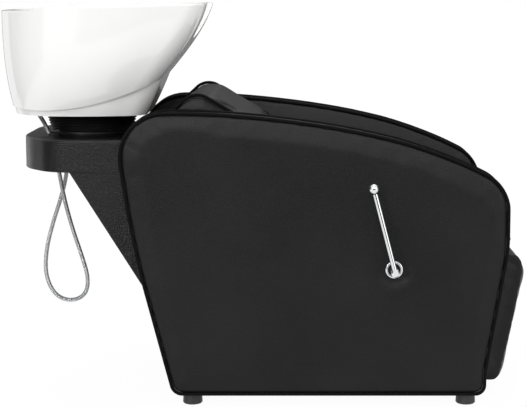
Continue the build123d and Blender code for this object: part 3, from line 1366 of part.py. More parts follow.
with BuildPart() as mixer_nut:
    with BuildSketch(Plane.XY.offset(ledge_under_z)):
        with Locations((TAP_X, MIXER_Y)):
            RegularPolygon(MIXER_NUT_RADIUS, 6)
            Circle(MIXER_SHANK_RADIUS + RUNNING_GAP, mode=Mode.SUBTRACT)
    extrude(amount=-MIXER_NUT_HEIGHT)
save(mixer_nut.part, "mixer_nut")

with BuildPart() as mixer_dome:
    with BuildSketch(Plane.XY.offset(dome_base_z)):
        with Locations((TAP_X, MIXER_Y)):
            Circle(MIXER_BODY_RADIUS)
    extrude(amount=DOME_TOP_Z - dome_base_z)
    fillet(mixer_dome.faces().sort_by(Axis.Z)[-1].edges(), radius=LEVER_HUB_RADIUS)
    with BuildSketch(Plane.XZ.offset(-MIXER_Y)):
        with Locations((TAP_X, LEVER_HUB_Z)):
            Circle(LEVER_HUB_RADIUS + SOFT_GAP)
            Rectangle(
                2 * MIXER_BODY_RADIUS, 2 * MIXER_BODY_RADIUS, align=(Align.MIN, Align.MIN)
            )
            for turn in (0, MIXER_LIFT):
                Rectangle(
                    2 * (LEVER_HUB_RADIUS + SOFT_GAP), 2 * MIXER_BODY_RADIUS,
                    rotation=turn, align=(Align.CENTER, Align.MIN),
                )
    extrude(amount=DOME_SLOT_HALF, both=True, mode=Mode.SUBTRACT)
    with BuildSketch(Plane.XZ.offset(-MIXER_Y)):
        with Locations((TAP_X, LEVER_HUB_Z)):
            Circle(LEVER_PIN_RADIUS + RUNNING_GAP)
    extrude(amount=2 * MIXER_BODY_RADIUS, both=True, mode=Mode.SUBTRACT)
save(mixer_dome.part, "mixer_dome")

with BuildPart() as mixer_lever:
    with BuildSketch(Plane.XZ.offset(-MIXER_Y)):
        with Locations((TAP_X, LEVER_HUB_Z)):
            Circle(LEVER_HUB_RADIUS)
        Polygon(
            (TAP_X - LEVER_HUB_RADIUS, LEVER_HUB_Z),
            (TAP_X - LEVER_HUB_RADIUS, PADDLE_TOP_Z),
            (TAP_X + PADDLE_LENGTH, PADDLE_TOP_Z),
            (TAP_X + PADDLE_LENGTH, PADDLE_TOP_Z - PADDLE_THICKNESS / 2),
            (TAP_X + LEVER_HUB_RADIUS, PADDLE_TOP_Z - PADDLE_THICKNESS),
            (TAP_X + LEVER_HUB_RADIUS, LEVER_HUB_Z),
            align=None,
        )
    extrude(amount=DOME_SLOT_HALF - SOFT_GAP, both=True)
    with BuildSketch(Plane.XZ.offset(-MIXER_Y)):
        with Locations((TAP_X, LEVER_HUB_Z)):
            Circle(LEVER_PIN_RADIUS)
    extrude(amount=MIXER_BODY_RADIUS - OVERRUN / 2, both=True)
save(mixer_lever.part, "mixer_lever")

# Pull-out spray: a bushed holder on the ledge, the handset and its hose
HOLDER_FLANGE_RADIUS = 19.0
HOLDER_TOP_Z = 858.0
HOLDER_BOTTOM_Z = 818.0
HOLDER_NUT_RADIUS = 18.0
HOLDER_NUT_HEIGHT = 8.0
STUB_RADIUS = 7.0
STUB_END_Z = 745.0
GRIP_RADIUS = 13.0
GRIP_TOP_Z = 893.0
ROSE_RADIUS = 22.0
ROSE_THICKNESS = 13.0
ROSE_X = -724.0
ROSE_Z = 897.0
ROSE_TILT = 35.0
with BuildPart() as spray_holder:
    with BuildSketch(Plane.XY.offset(LEDGE_Z)):
        with Locations((TAP_X, SPRAY_Y)):
            Circle(HOLDER_FLANGE_RADIUS)
    extrude(amount=HOLDER_TOP_Z - LEDGE_Z, taper=FLANGE_TAPER)
    with BuildSketch(Plane.XY.offset(LEDGE_Z)):
        with Locations((TAP_X, SPRAY_Y)):
            Circle(HOLDER_SHANK_RADIUS)
    extrude(amount=HOLDER_BOTTOM_Z - LEDGE_Z)
    with BuildSketch(Plane.XY.offset(ledge_under_z)):
        with Locations((TAP_X, SPRAY_Y)):
            RegularPolygon(HOLDER_NUT_RADIUS, 6)
    extrude(amount=-HOLDER_NUT_HEIGHT)
    with BuildSketch(Plane.XY.offset(HOLDER_BOTTOM_Z)):
        with Locations((TAP_X, SPRAY_Y)):
            Circle(STUB_RADIUS + RUNNING_GAP)
    extrude(amount=HOLDER_TOP_Z - HOLDER_BOTTOM_Z, mode=Mode.SUBTRACT)
save(spray_holder.part, "spray_holder")

rose_plane = Plane(
    origin=(ROSE_X, SPRAY_Y, ROSE_Z),
    z_dir=(cos(radians(ROSE_TILT)), 0, -sin(radians(ROSE_TILT))),
)
with BuildPart() as spray_head:
    with BuildSketch(Plane.XY.offset(STUB_END_Z)):
        with Locations((TAP_X, SPRAY_Y)):
            Circle(STUB_RADIUS)
    extrude(amount=HOLDER_TOP_Z - STUB_END_Z + SEAT_GAP)
    with BuildSketch(Plane.XY.offset(HOLDER_TOP_Z + SEAT_GAP)):
        with Locations((TAP_X, SPRAY_Y)):
            Circle(GRIP_RADIUS - MIXER_FLANGE)
    with BuildSketch(Plane.XY.offset(GRIP_TOP_Z)):
        with Locations((TAP_X, SPRAY_Y)):
            Circle(GRIP_RADIUS)
    loft()
    fillet(spray_head.edges().sort_by(Axis.Z)[-1], radius=MIXER_FLANGE)
    with BuildSketch(rose_plane):
        Circle(ROSE_RADIUS)
    with BuildSketch(rose_plane.offset(-ROSE_THICKNESS - GRIP_RADIUS)):
        Circle(GRIP_RADIUS - MIXER_FLANGE)
    loft()
save(spray_head.part, "spray_head")

hose_tail_y = MIXER_Y - TAIL_CIRCLE
SPRAY_ROUTE = (
    (TAP_X, SPRAY_Y, STUB_END_Z),
    (TAP_X, SPRAY_Y, 708.0),
    (-711.0, SPRAY_Y, 662.0),
    (-686.0, SPRAY_Y, 608.0),
    (-673.0, SPRAY_Y, 540.0),
    (-660.0, SPRAY_Y, 462.0),
    (-641.0, SPRAY_Y, 385.0),
    (-617.0, SPRAY_Y, 312.0),
    (-601.0, -59.0, 252.0),
    (-611.0, -58.0, 210.0),
    (-650.0, -56.0, 195.0),
    (-690.0, -54.0, 212.0),
    (-712.0, -52.0, 264.0),
    (-708.0, -50.0, 330.0),
    (-690.0, -47.0, 398.0),
    (-668.0, -44.0, 462.0),
    (-653.0, -41.0, 525.0),
    (-652.0, -36.0, 590.0),
    (-661.0, -30.0, 642.0),
    (-680.0, -20.0, 680.0),
    (-712.0, -2.0, 698.0),
    (-738.0, 22.0, 712.0),
    (TAP_X, hose_tail_y, 742.0),
    (TAP_X, hose_tail_y, tail_bottom_z),
)
spray_path = hose_path(SPRAY_ROUTE)
with BuildPart() as spray_hose:
    with BuildSketch(Plane(origin=spray_path @ 0, z_dir=spray_path % 0)):
        Circle(HOSE_RADIUS)
    sweep(path=spray_path)
save(spray_hose.part, "spray_hose")
hose_check(spray_hose.part, HOSE_RADIUS, 0, spray_path)
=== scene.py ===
import math
import bmesh
import bpy
from mathutils import Matrix, Vector


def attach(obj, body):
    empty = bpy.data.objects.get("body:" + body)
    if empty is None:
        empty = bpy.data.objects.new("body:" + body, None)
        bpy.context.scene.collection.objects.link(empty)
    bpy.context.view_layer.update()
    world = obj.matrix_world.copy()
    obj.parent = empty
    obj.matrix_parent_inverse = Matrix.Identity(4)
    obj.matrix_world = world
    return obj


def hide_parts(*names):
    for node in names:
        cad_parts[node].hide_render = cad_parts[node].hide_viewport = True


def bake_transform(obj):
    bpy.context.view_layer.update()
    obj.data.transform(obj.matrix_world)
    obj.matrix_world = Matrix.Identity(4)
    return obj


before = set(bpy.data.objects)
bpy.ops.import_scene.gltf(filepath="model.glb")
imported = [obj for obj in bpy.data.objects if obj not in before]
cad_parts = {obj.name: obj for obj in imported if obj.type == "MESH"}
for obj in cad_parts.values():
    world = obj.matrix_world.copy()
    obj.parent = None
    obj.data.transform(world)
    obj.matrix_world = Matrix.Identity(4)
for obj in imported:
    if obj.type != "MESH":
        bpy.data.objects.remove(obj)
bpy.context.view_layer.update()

MM = 0.001

# Studio: a white floor without an end, a broad soft lamp beside the camera, a narrower one on the bowl's
# side, a fill and a back lamp, four dark flags that only mirrors see, and a long lens at eye height.
camera_data = bpy.data.cameras.new("camera")
camera_data.sensor_width = 36.0
camera_data.lens = 97.83
camera_data.shift_x = -0.0580
camera_data.shift_y = -0.0802
camera_data.clip_end = 200.0
camera = bpy.data.objects.new("camera", camera_data)
camera.location = (-0.08352, -3.60948, 0.97840)
camera.rotation_euler = (math.radians(90 - 6.8438), 0, 0)
bpy.context.scene.collection.objects.link(camera)
bpy.context.scene.camera = camera
bpy.context.scene.view_settings.view_transform = "Standard"


def add_node(tree, kind, links=(), values=(), **settings):
    """Node with its settings, the values of its inputs, and links into it from (input, output) pairs."""
    node = tree.nodes.new(kind)
    for key, value in settings.items():
        setattr(node, key, value)
    for key, value in values:
        node.inputs[key].default_value = value
    for key, source in links:
        tree.links.new(source, node.inputs[key])
    return node


def rays_that_see_white(tree):
    """Output that is 1 for the rays of the camera, of mirrors and of glass, which see a white studio."""
    rays = add_node(tree, "ShaderNodeLightPath")
    seen = add_node(
        tree, "ShaderNodeMath",
        ((0, rays.outputs["Is Camera Ray"]), (1, rays.outputs["Is Glossy Ray"])), operation="MAXIMUM",
    )
    seen = add_node(
        tree, "ShaderNodeMath",
        ((0, seen.outputs[0]), (1, rays.outputs["Is Transmission Ray"])), operation="MAXIMUM",
    )
    return seen.outputs[0]


world = bpy.data.worlds.new("studio")
bpy.context.scene.world = world
world.use_nodes = True
sky = world.node_tree
sky.nodes.clear()
soft_sky = add_node(sky, "ShaderNodeBackground", values=(("Color", (1, 1, 1, 1)), ("Strength", 0.52)))
white_sky = add_node(sky, "ShaderNodeBackground", values=(("Color", (1, 1, 1, 1)), ("Strength", 1.0)))
sky_mix = add_node(
    sky, "ShaderNodeMixShader",
    (("Fac", rays_that_see_white(sky)), (1, soft_sky.outputs[0]), (2, white_sky.outputs[0])),
)
add_node(sky, "ShaderNodeOutputWorld", (("Surface", sky_mix.outputs[0]),))

for lamp_name, direction, strength, spread in (
    ("key_lamp", (-0.10, -1.0, 0.60), 1.20, 40),
    ("side_lamp", (-0.52, -0.85, 0.20), 0.50, 9),
    ("fill_lamp", (1.0, -0.75, 0.15), 0.70, 50),
    ("back_lamp", (0.20, 0.8, 1.5), 0.6, 40),
):
    lamp_data = bpy.data.lights.new(lamp_name, "SUN")
    lamp_data.energy = strength
    lamp_data.angle = math.radians(spread)
    lamp = bpy.data.objects.new(lamp_name, lamp_data)
    lamp.rotation_euler = Vector(direction).to_track_quat("Z", "Y").to_euler()
    bpy.context.scene.collection.objects.link(lamp)

FLOOR_REACH = 60.0
FLOOR_GLOW = 0.93
FLOOR_WHITE = 1.03
floor_mesh = bmesh.new()
bmesh.ops.create_grid(floor_mesh, x_segments=1, y_segments=1, size=FLOOR_REACH)
floor_data = bpy.data.meshes.new("floor")
floor_mesh.to_mesh(floor_data)
floor_mesh.free()
floor = bpy.data.objects.new("floor", floor_data)
bpy.context.scene.collection.objects.link(floor)
floor_paint = bpy.data.materials.new("floor_paint")
floor_paint.use_nodes = True
paint = floor_paint.node_tree
paint.nodes.clear()
paint_matte = add_node(paint, "ShaderNodeBsdfDiffuse", values=(("Color", (0.82, 0.82, 0.82, 1)),))
paint_glow = add_node(paint, "ShaderNodeEmission", values=(("Strength", FLOOR_WHITE),))
paint_share = add_node(
    paint, "ShaderNodeMath", ((0, rays_that_see_white(paint)),), ((1, FLOOR_GLOW),), operation="MULTIPLY",
)
paint_mix = add_node(
    paint, "ShaderNodeMixShader",
    (("Fac", paint_share.outputs[0]), (1, paint_matte.outputs[0]), (2, paint_glow.outputs[0])),
)
add_node(paint, "ShaderNodeOutputMaterial", (("Surface", paint_mix.outputs[0]),))
floor_data.materials.append(floor_paint)

for flag_name, spot, faces_along, half_width, half_height, tone in (
    ("front_flag", (0.15, -2.6, 0.55), "Y", 1.45, 0.55, 0.02),
    ("left_flag", (-2.1, -0.4, 1.15), "X", 1.0, 1.1, 0.12),
    ("right_flag", (2.3, -0.2, 1.15), "X", 0.8, 1.1, 0.30),
    ("back_flag", (0.0, 2.4, 1.1), "Y", 1.9, 0.9, 0.12),
):
    flag_cloth = bpy.data.materials.new(flag_name)
    flag_cloth.use_nodes = True
    flag_cloth.node_tree.nodes["Principled BSDF"].inputs["Base Color"].default_value = (tone, tone, tone, 1)
    if faces_along == "X":
        stretch, tip_axis = (half_height, half_width, 1.0, 1.0), "Y"
    else:
        stretch, tip_axis = (half_width, half_height, 1.0, 1.0), "X"
    upright = Matrix.Rotation(math.radians(90), 4, tip_axis)
    flag_mesh = bmesh.new()
    bmesh.ops.create_grid(
        flag_mesh, x_segments=1, y_segments=1, size=1.0,
        matrix=Matrix.Translation(spot) @ upright @ Matrix.Diagonal(stretch),
    )
    flag_data = bpy.data.meshes.new(flag_name)
    flag_mesh.to_mesh(flag_data)
    flag_mesh.free()
    flag_data.materials.append(flag_cloth)
    flag = bpy.data.objects.new(flag_name, flag_data)
    bpy.context.scene.collection.objects.link(flag)
    flag.visible_camera = False
    flag.visible_diffuse = False
    flag.visible_shadow = False
    flag.visible_transmission = False


# Feet: four moulded black glides, each screwed to a zinc-plated stud that is let into the plywood arm.
# The section also builds two groups that other sections share, a slow change of tone and a grain; its two finishes
# use the tone only.
def shader_group(name, inputs, outputs):
    """Empty node group with named sockets; returns its tree, input node and output node."""
    tree = bpy.data.node_groups.new(name, "ShaderNodeTree")
    for label, kind, value in inputs:
        tree.interface.new_socket(label, in_out="INPUT", socket_type=kind).default_value = value
    for label, kind in outputs:
        tree.interface.new_socket(label, in_out="OUTPUT", socket_type=kind)
    return tree, tree.nodes.new("NodeGroupInput"), tree.nodes.new("NodeGroupOutput")


FLOAT = "NodeSocketFloat"
COLOUR = "NodeSocketColor"
tone_group, tone_in, tone_out = shader_group(
    "slow_tone",
    (("Scale", FLOAT, 6.0), ("Dark", COLOUR, (0, 0, 0, 1)), ("Light", COLOUR, (1, 1, 1, 1)),
     ("Smooth", FLOAT, 0.4), ("Rough", FLOAT, 0.6)),
    (("Colour", COLOUR), ("Roughness", FLOAT)),
)
tone_place = add_node(tone_group, "ShaderNodeTexCoord")
tone_noise = add_node(
    tone_group, "ShaderNodeTexNoise",
    (("Vector", tone_place.outputs["Object"]), ("Scale", tone_in.outputs["Scale"])), (("Detail", 4.0),),
)
tone_spread = add_node(
    tone_group, "ShaderNodeMapRange", ((0, tone_noise.outputs["Fac"]),), (("From Min", 0.3), ("From Max", 0.7)),
)
tone_mix = add_node(
    tone_group, "ShaderNodeMix",
    ((0, tone_spread.outputs[0]), (6, tone_in.outputs["Dark"]), (7, tone_in.outputs["Light"])), data_type="RGBA",
)
tone_rough = add_node(
    tone_group, "ShaderNodeMapRange",
    ((0, tone_noise.outputs["Fac"]), ("To Min", tone_in.outputs["Smooth"]), ("To Max", tone_in.outputs["Rough"])),
)
tone_group.links.new(tone_mix.outputs[2], tone_out.inputs["Colour"])
tone_group.links.new(tone_rough.outputs[0], tone_out.inputs["Roughness"])

grain_group, grain_in, grain_out = shader_group(
    "pebble_grain", (("Scale", FLOAT, 700.0),), (("Height", FLOAT),),
)
grain_place = add_node(grain_group, "ShaderNodeTexCoord")
grain_cells = add_node(
    grain_group, "ShaderNodeTexVoronoi",
    (("Vector", grain_place.outputs["Object"]), ("Scale", grain_in.outputs["Scale"])), feature="SMOOTH_F1",
)
grain_waves = add_node(
    grain_group, "ShaderNodeTexNoise",
    (("Vector", grain_place.outputs["Object"]), ("Scale", grain_in.outputs["Scale"])), (("Detail", 3.0),),
)
grain_sum = add_node(
    grain_group, "ShaderNodeMath",
    ((0, grain_cells.outputs["Distance"]), (1, grain_waves.outputs["Fac"])), operation="ADD",
)
grain_group.links.new(grain_sum.outputs[0], grain_out.inputs["Height"])


def finish(name, dark, light, roughness, tone_scale, grain=None, **sockets):
    """Material with slow tone, an optional (scale, distance) grain, and values for the shader's own sockets."""
    material = bpy.data.materials.new(name)
    material.use_nodes = True
    tree = material.node_tree
    shader = tree.nodes["Principled BSDF"]
    tone = add_node(tree, "ShaderNodeGroup", node_tree=tone_group)
    for key, value in (
        ("Scale", tone_scale), ("Dark", (*dark, 1)), ("Light", (*light, 1)),
        ("Smooth", roughness[0]), ("Rough", roughness[1]),
    ):
        tone.inputs[key].default_value = value
    tree.links.new(tone.outputs["Colour"], shader.inputs["Base Color"])
    tree.links.new(tone.outputs["Roughness"], shader.inputs["Roughness"])
    if grain:
        pebble = add_node(tree, "ShaderNodeGroup", node_tree=grain_group)
        pebble.inputs["Scale"].default_value = grain[0]
        bump = add_node(tree, "ShaderNodeBump", (("Height", pebble.outputs["Height"]),), (("Distance", grain[1]),))
        tree.links.new(bump.outputs["Normal"], shader.inputs["Normal"])
    for key, value in sockets.items():
        shader.inputs[key.replace("_", " ")].default_value = value
    return material


def dress(material, *node_names):
    """Give CAD nodes their finish."""
    for node_name in node_names:
        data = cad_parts[node_name].data
        data.materials.clear()
        data.materials.append(material)


moulded_glide = finish("moulded_glide", (0.012, 0.012, 0.012), (0.020, 0.020, 0.020), (0.45, 0.55), 30.0)
zinc_plate = finish("zinc_plate", (0.42, 0.43, 0.44), (0.58, 0.59, 0.60), (0.30, 0.45), 60.0, Metallic=1.0)
dress(moulded_glide, "feet")
dress(zinc_plate, "foot_studs")

# Frame: welded steel cross rails with end plates, powder coated satin black and bolted to both arms,
# with the hinge gussets and the bracket of the lever's shaft made of the same plate.
powder_coat = finish(
    "black_powder_coat", (0.014, 0.014, 0.015), (0.022, 0.022, 0.023), (0.38, 0.50), 30.0,
    grain=(900.0, 0.00025),
)
dress(
    powder_coat, "front_cross_rail", "rear_low_rail", "rear_high_rail", "hinge_gussets", "lever_support",
)
dress(zinc_plate, "rail_bolts")

# Arm cores and the boards under the cushions: raw birch plywood, cut to shape, with slow changes of tone
# and fine pores. Only their undersides and back faces show.
plywood = finish("plywood", (0.40, 0.26, 0.14), (0.60, 0.43, 0.26), (0.55, 0.70), 5.0, grain=(90.0, 0.0003))
dress(plywood, "arm_core_left", "arm_core_right", "seat_battens", "seat_board", "back_board", "back_battens",
      "legrest_board")

# Arm covers: black vinyl-coated cloth over foam, a padded panel sewn to each side of a flat border.
# The lever's side has a dimple where the cover is drawn in round the hub. The panels are crowned as cloth
# under a little air, with the border held.
leatherette = finish(
    "leatherette", (0.0036, 0.0036, 0.0040), (0.0072, 0.0072, 0.0077), (0.34, 0.46), 5.0,
    grain=(650.0, 0.0004), Specular_IOR_Level=0.23,
)
ARM_SEAM = 31 * MM
ARM_MIDDLE = 283.5 * MM
ARM_LENGTH = 921 * MM
ARM_HEIGHT = 664 * MM
ARM_REAR = -505 * MM
ARM_FOOT = 30 * MM
ARM_CORNERS = (
    (0.1495, 0.0, 0.055), (0.053, 0.515, 0.30), (0.0, 1.0, 0.385), (0.418, 1.0, 0.61),
    (0.814, 0.8726, 0.58), (1.0, 0.744, 0.36), (1.0, 0.515, 0.22), (0.9457, 0.0723, 0.42),
    (0.9457, 0.0, 0.45),
)
CORNER_STEPS = 12
PANEL_CROWN = ((0.8, 1.4), (1.8, 1.8), (3.2, 2.2), (5.2, 2.2), (8.5, 1.7))
ARM_CELL = 8 * MM
ARM_SWELL = 3.4 * MM
AIR_PRESSURE = 4.0
AIR_STEPS = 20
BORDER_SLANT = 0.75
LEVER_SPOT = Vector((150 * MM, 0, 329 * MM))
DIMPLE = ((96, 0.0), (60, 0.1), (47, 0.6), (40, 1.8), (35, 4.2), (30, 6.6), (26, 7.2), (19, 7.4))
DIMPLE_SIDES = 96


def rounded_face(mesh, corners):
    """Face at y = 0 with (x, z, share) corners, each rounded from a share of its shorter side."""
    verts = [mesh.verts.new((x, 0, z)) for x, z, share in corners]
    face = mesh.faces.new(verts)
    sides = [(verts[i].co - verts[i - 1].co).length for i in range(len(verts))]
    for index, vert in enumerate(verts):
        reach = corners[index][2] * min(sides[index], sides[(index + 1) % len(verts)])
        if reach > 0:
            bmesh.ops.bevel(
                mesh, geom=[vert], offset=reach, offset_type="OFFSET", segments=CORNER_STEPS,
                profile=0.5, affect="VERTICES", material=-1, clamp_overlap=False,
            )
    return mesh.faces[:][0]


def place(shares, corner_x, corner_z, length, height):
    """Corner rows from shares of a length and a height."""
    return [(corner_x + x * length, corner_z + z * height, share) for x, z, share in shares]


def slab(mesh, corners, half):
    """Closed outline extruded to both sides of y = 0; returns its two end faces, the nearer first."""
    near = rounded_face(mesh, corners)
    bmesh.ops.translate(mesh, verts=near.verts, vec=(0, -half, 0))
    grown = bmesh.ops.extrude_face_region(mesh, geom=[near], use_keep_orig=True)
    moved = [item for item in grown["geom"] if isinstance(item, bmesh.types.BMVert)]
    bmesh.ops.translate(mesh, verts=moved, vec=(0, 2 * half, 0))
    bmesh.ops.recalc_face_normals(mesh, faces=mesh.faces)
    ends = sorted(mesh.faces, key=lambda face: face.calc_area())[-2:]
    return sorted(ends, key=lambda face: face.calc_center_median().y)


def crown(mesh, face, rows):
    """Inset a face in steps of (width, rise) in millimetres, which rounds its edge like a stuffed panel."""
    for width, rise in rows:
        bmesh.ops.inset_region(mesh, faces=[face], thickness=width * MM, depth=rise * MM, use_even_offset=True)


def ring_edges(ring):
    """Edges between a ring's vertices, each once and in the ring's order."""
    return list(dict.fromkeys(edge for vert in ring for edge in vert.link_edges))


def new_piece(name, mesh, material, smooth_angle=40):
    """Object from a finished bmesh, shaded smooth below an angle."""
    bmesh.ops.recalc_face_normals(mesh, faces=mesh.faces)
    data = bpy.data.meshes.new(name)
    mesh.to_mesh(data)
    mesh.free()
    data.materials.append(material)
    data.shade_smooth()
    data.set_sharp_from_angle(angle=math.radians(smooth_angle))
    piece = bpy.data.objects.new(name, data)
    bpy.context.scene.collection.objects.link(piece)
    return piece


def blown_up(piece, cell, cap, held):
    """Crown a piece as cloth under a little air; held picks its fixed points, cap is the most one may move."""
    scene = bpy.context.scene
    remesh = piece.modifiers.new("even_cells", "REMESH")
    remesh.mode = "VOXEL"
    remesh.voxel_size = cell
    bpy.context.view_layer.update()
    even = bpy.data.meshes.new_from_object(piece.evaluated_get(bpy.context.evaluated_depsgraph_get()))
    piece.modifiers.clear()
    piece.data = even
    rested = piece.vertex_groups.new(name="rested")
    rested.add([vert.index for vert in even.vertices if held(vert)], 1.0, "REPLACE")
    start = [vert.co.copy() for vert in even.vertices]
    cloth = piece.modifiers.new("air", "CLOTH")
    cloth.settings.use_pressure = True
    cloth.settings.uniform_pressure_force = AIR_PRESSURE
    cloth.settings.effector_weights.gravity = 0.0
    cloth.settings.vertex_group_mass = "rested"
    cloth.point_cache.frame_start = 1
    cloth.point_cache.frame_end = AIR_STEPS
    for step in range(1, AIR_STEPS + 1):
        scene.frame_set(step)
    full = bpy.data.meshes.new_from_object(piece.evaluated_get(bpy.context.evaluated_depsgraph_get()))
    piece.modifiers.clear()
    piece.vertex_groups.clear()
    for vert, origin in zip(full.vertices, start):
        move = vert.co - origin
        if move.length > cap:
            vert.co = origin + move * (cap / move.length)
    scene.frame_set(1)
    piece.data = full
    full.shade_smooth()
    rounding = piece.modifiers.new("rounding", "SUBSURF")
    rounding.levels = 1
    rounding.render_levels = 1


arm_corners = place(ARM_CORNERS, ARM_REAR, ARM_FOOT, ARM_LENGTH, ARM_HEIGHT)
for side, hand in ((-1, "right"), (1, "left")):
    mesh = bmesh.new()
    ends = slab(mesh, arm_corners, ARM_SEAM)
    for end in ends:
        crown(mesh, end, PANEL_CROWN)
    if side < 0:
        near = ends[0]
        near_y = near.calc_center_median().y
        rim = list(near.edges)
        bmesh.ops.delete(mesh, geom=[near], context="FACES_ONLY")
        for radius, depth in DIMPLE:
            ring = bmesh.ops.create_circle(
                mesh, segments=DIMPLE_SIDES, radius=radius * MM,
                matrix=Matrix.Translation(LEVER_SPOT + Vector((0, near_y + depth * MM, 0)))
                @ Matrix.Rotation(math.radians(90), 4, "X"),
            )["verts"]
            loop = ring_edges(ring)
            if radius == DIMPLE[0][0]:
                bmesh.ops.triangle_fill(mesh, edges=rim + loop, use_beauty=True, normal=(0, -1, 0))
            else:
                bmesh.ops.bridge_loops(mesh, edges=rim + loop)
            rim = loop
        bmesh.ops.contextual_create(mesh, geom=rim)
    bmesh.ops.translate(mesh, verts=mesh.verts, vec=(0, side * ARM_MIDDLE, 0))
    arm = new_piece(f"arm_pad_{hand}", mesh, leatherette)
    blown_up(arm, ARM_CELL, ARM_SWELL, lambda vert: abs(vert.normal.y) < BORDER_SLANT)
    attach(arm, "frame")
    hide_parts(f"arm_cover_{hand}")

# Welts: piping of the same vinyl round a cord, sewn into both seams of each arm. Each is one closed
# round tube along the cover's outline, drawn in a little from the edge.
WELT_RADIUS = 4.0 * MM
WELT_INSET = 3.1 * MM
WELT_REACH = 35.4 * MM
WELT_SIDES = 12
welt_vinyl = finish(
    "welt_vinyl", (0.0034, 0.0034, 0.0037), (0.0052, 0.0052, 0.0056), (0.50, 0.62), 20.0,
    grain=(900.0, 0.0003), Specular_IOR_Level=0.05,
)


def tube_places(points, closed):
    """Matrix for each point of a line, its Z axis along the line and its X axis turned as little as possible."""
    count = len(points)
    places = []
    across = None
    for index, point in enumerate(points):
        before = points[index - 1] if index or closed else point
        after = points[(index + 1) % count] if index < count - 1 or closed else point
        run = (after - before).normalized()
        if across is None:
            across = run.orthogonal()
        across = (across - run * across.dot(run)).normalized()
        turn = Matrix((across, run.cross(across), run)).transposed().to_4x4()
        places.append(Matrix.Translation(point) @ turn)
    return places


def tube(mesh, points, radius, sides, closed=False):
    """Round tube along points; its layer 'along' holds the length so far, for patterns that go round it."""
    along = mesh.verts.layers.float.get("along") or mesh.verts.layers.float.new("along")
    places = tube_places(points, closed)
    ring = bmesh.ops.create_circle(mesh, segments=sides, radius=radius, matrix=places[0])["verts"]
    first = ring_edges(ring)
    edges = first
    travelled = 0.0
    for before, after in zip(places, places[1:]):
        grown = bmesh.ops.extrude_edge_only(mesh, edges=edges)["geom"]
        ring = {item for item in grown if isinstance(item, bmesh.types.BMVert)}
        edges = [
            item for item in grown
            if isinstance(item, bmesh.types.BMEdge) and item.verts[0] in ring and item.verts[1] in ring
        ]
        bmesh.ops.transform(mesh, matrix=after @ before.inverted(), verts=list(ring))
        travelled += (after.translation - before.translation).length
        for vert in ring:
            vert[along] = travelled
    if closed:
        bmesh.ops.bridge_loops(mesh, edges=edges + first)
    else:
        bmesh.ops.contextual_create(mesh, geom=first)
        bmesh.ops.contextual_create(mesh, geom=edges)


def outline_points(corners, inset, y):
    """Points of a rounded outline, drawn in by an inset, at one place across."""
    mesh = bmesh.new()
    face = rounded_face(mesh, corners)
    bmesh.ops.inset_region(mesh, faces=[face], thickness=inset, use_even_offset=True)
    points = [Vector((vert.co.x, y, vert.co.z)) for vert in max(mesh.faces, key=lambda f: f.calc_area()).verts]
    mesh.free()
    return points


def piping(name, rows, node, body):
    """Welts along rows of points, as one piece on a body."""
    mesh = bmesh.new()
    for points in rows:
        tube(mesh, points, WELT_RADIUS, WELT_SIDES, closed=True)
    piece = new_piece(name, mesh, welt_vinyl, 80)
    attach(piece, body)
    if node:
        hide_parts(node)


for side, hand in ((-1, "right"), (1, "left")):
    seams = [
        outline_points(arm_corners, WELT_INSET, side * ARM_MIDDLE + reach * WELT_REACH) for reach in (-1, 1)
    ]
    piping(f"arm_piping_{hand}", seams, f"arm_welt_{hand}", "frame")

# Seat cushion: firm foam on its board, in the same cover, with a nose that rolls over the board's front
# edge. It is blown up a little as cloth, so its faces crown and its edges draw in between the corners.
SEAT_CORNERS = (
    (0.0, 0.55, 0.1), (0.0, 0.93, 0.35), (0.35, 1.02, 0.45), (0.925, 0.97, 0.42), (1.0, 0.13, 0.2),
    (0.984, 0.0, 0.3), (0.93, 0.20, 0.1), (0.93, 0.55, 0.0),
)
SEAT_REAR = -148 * MM
SEAT_LENGTH = 590 * MM
SEAT_LOW = 377 * MM
SEAT_HEIGHT = 71 * MM
CUSHION_HALF = 240.5 * MM
CUSHION_CELL = 6 * MM
SEAT_SWELL = 6 * MM
SIDE_CROWN = ((1.2, 1.6), (2.4, 1.3), (4.0, 1.1))
SIDE_CROWN_RISE = 4 * MM
REST_SHARE = 0.6


def cushion(name, corners, half, node, body, rest_way, swell):
    """Stuffed cushion from a side profile; it starts smaller by what the air adds to its sides."""
    mesh = bmesh.new()
    ends = slab(mesh, corners, half - SIDE_CROWN_RISE - swell)
    for end in ends:
        crown(mesh, end, SIDE_CROWN)
    piece = new_piece(name, mesh, leatherette)
    rest_way = Vector(rest_way).normalized()
    blown_up(piece, CUSHION_CELL, swell, lambda vert: vert.normal.dot(rest_way) > REST_SHARE)
    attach(piece, body)
    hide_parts(node)


seat_corners = place(SEAT_CORNERS, SEAT_REAR, SEAT_LOW, SEAT_LENGTH, SEAT_HEIGHT)
cushion("seat_pad", seat_corners, CUSHION_HALF, "seat_cushion", "frame", (0, 0, -1), SEAT_SWELL)

# Back cushion: a wedge of foam that leans on its board and rolls over the board's top edge, where the
# shoulders lie. A welt goes round each of its two side panels.
BACK_FOOT = Vector((-152 * MM, 0, 428 * MM))
BACK_LENGTH = 318 * MM
BACK_DEPTH = 124 * MM
BACK_SWELL = 6 * MM
BACK_LEAN = math.radians(52)
BACK_CORNERS = (
    (0.085, 0.0, 0.1), (0.085, 0.47, 0.40), (0.41, 1.20, 0.42), (1.10, 0.50, 0.45),
    (1.08, -0.09, 0.30), (1.02, -0.09, 0.10), (1.02, 0.02, 0.0),
)
back_up = Vector((-math.cos(BACK_LEAN), 0, math.sin(BACK_LEAN)))
back_out = Vector((math.sin(BACK_LEAN), 0, math.cos(BACK_LEAN)))
back_corners = []
for along, out, share in BACK_CORNERS:
    spot = BACK_FOOT + back_up * (along * BACK_LENGTH) + back_out * (out * BACK_DEPTH)
    back_corners.append((spot.x, spot.z, share))
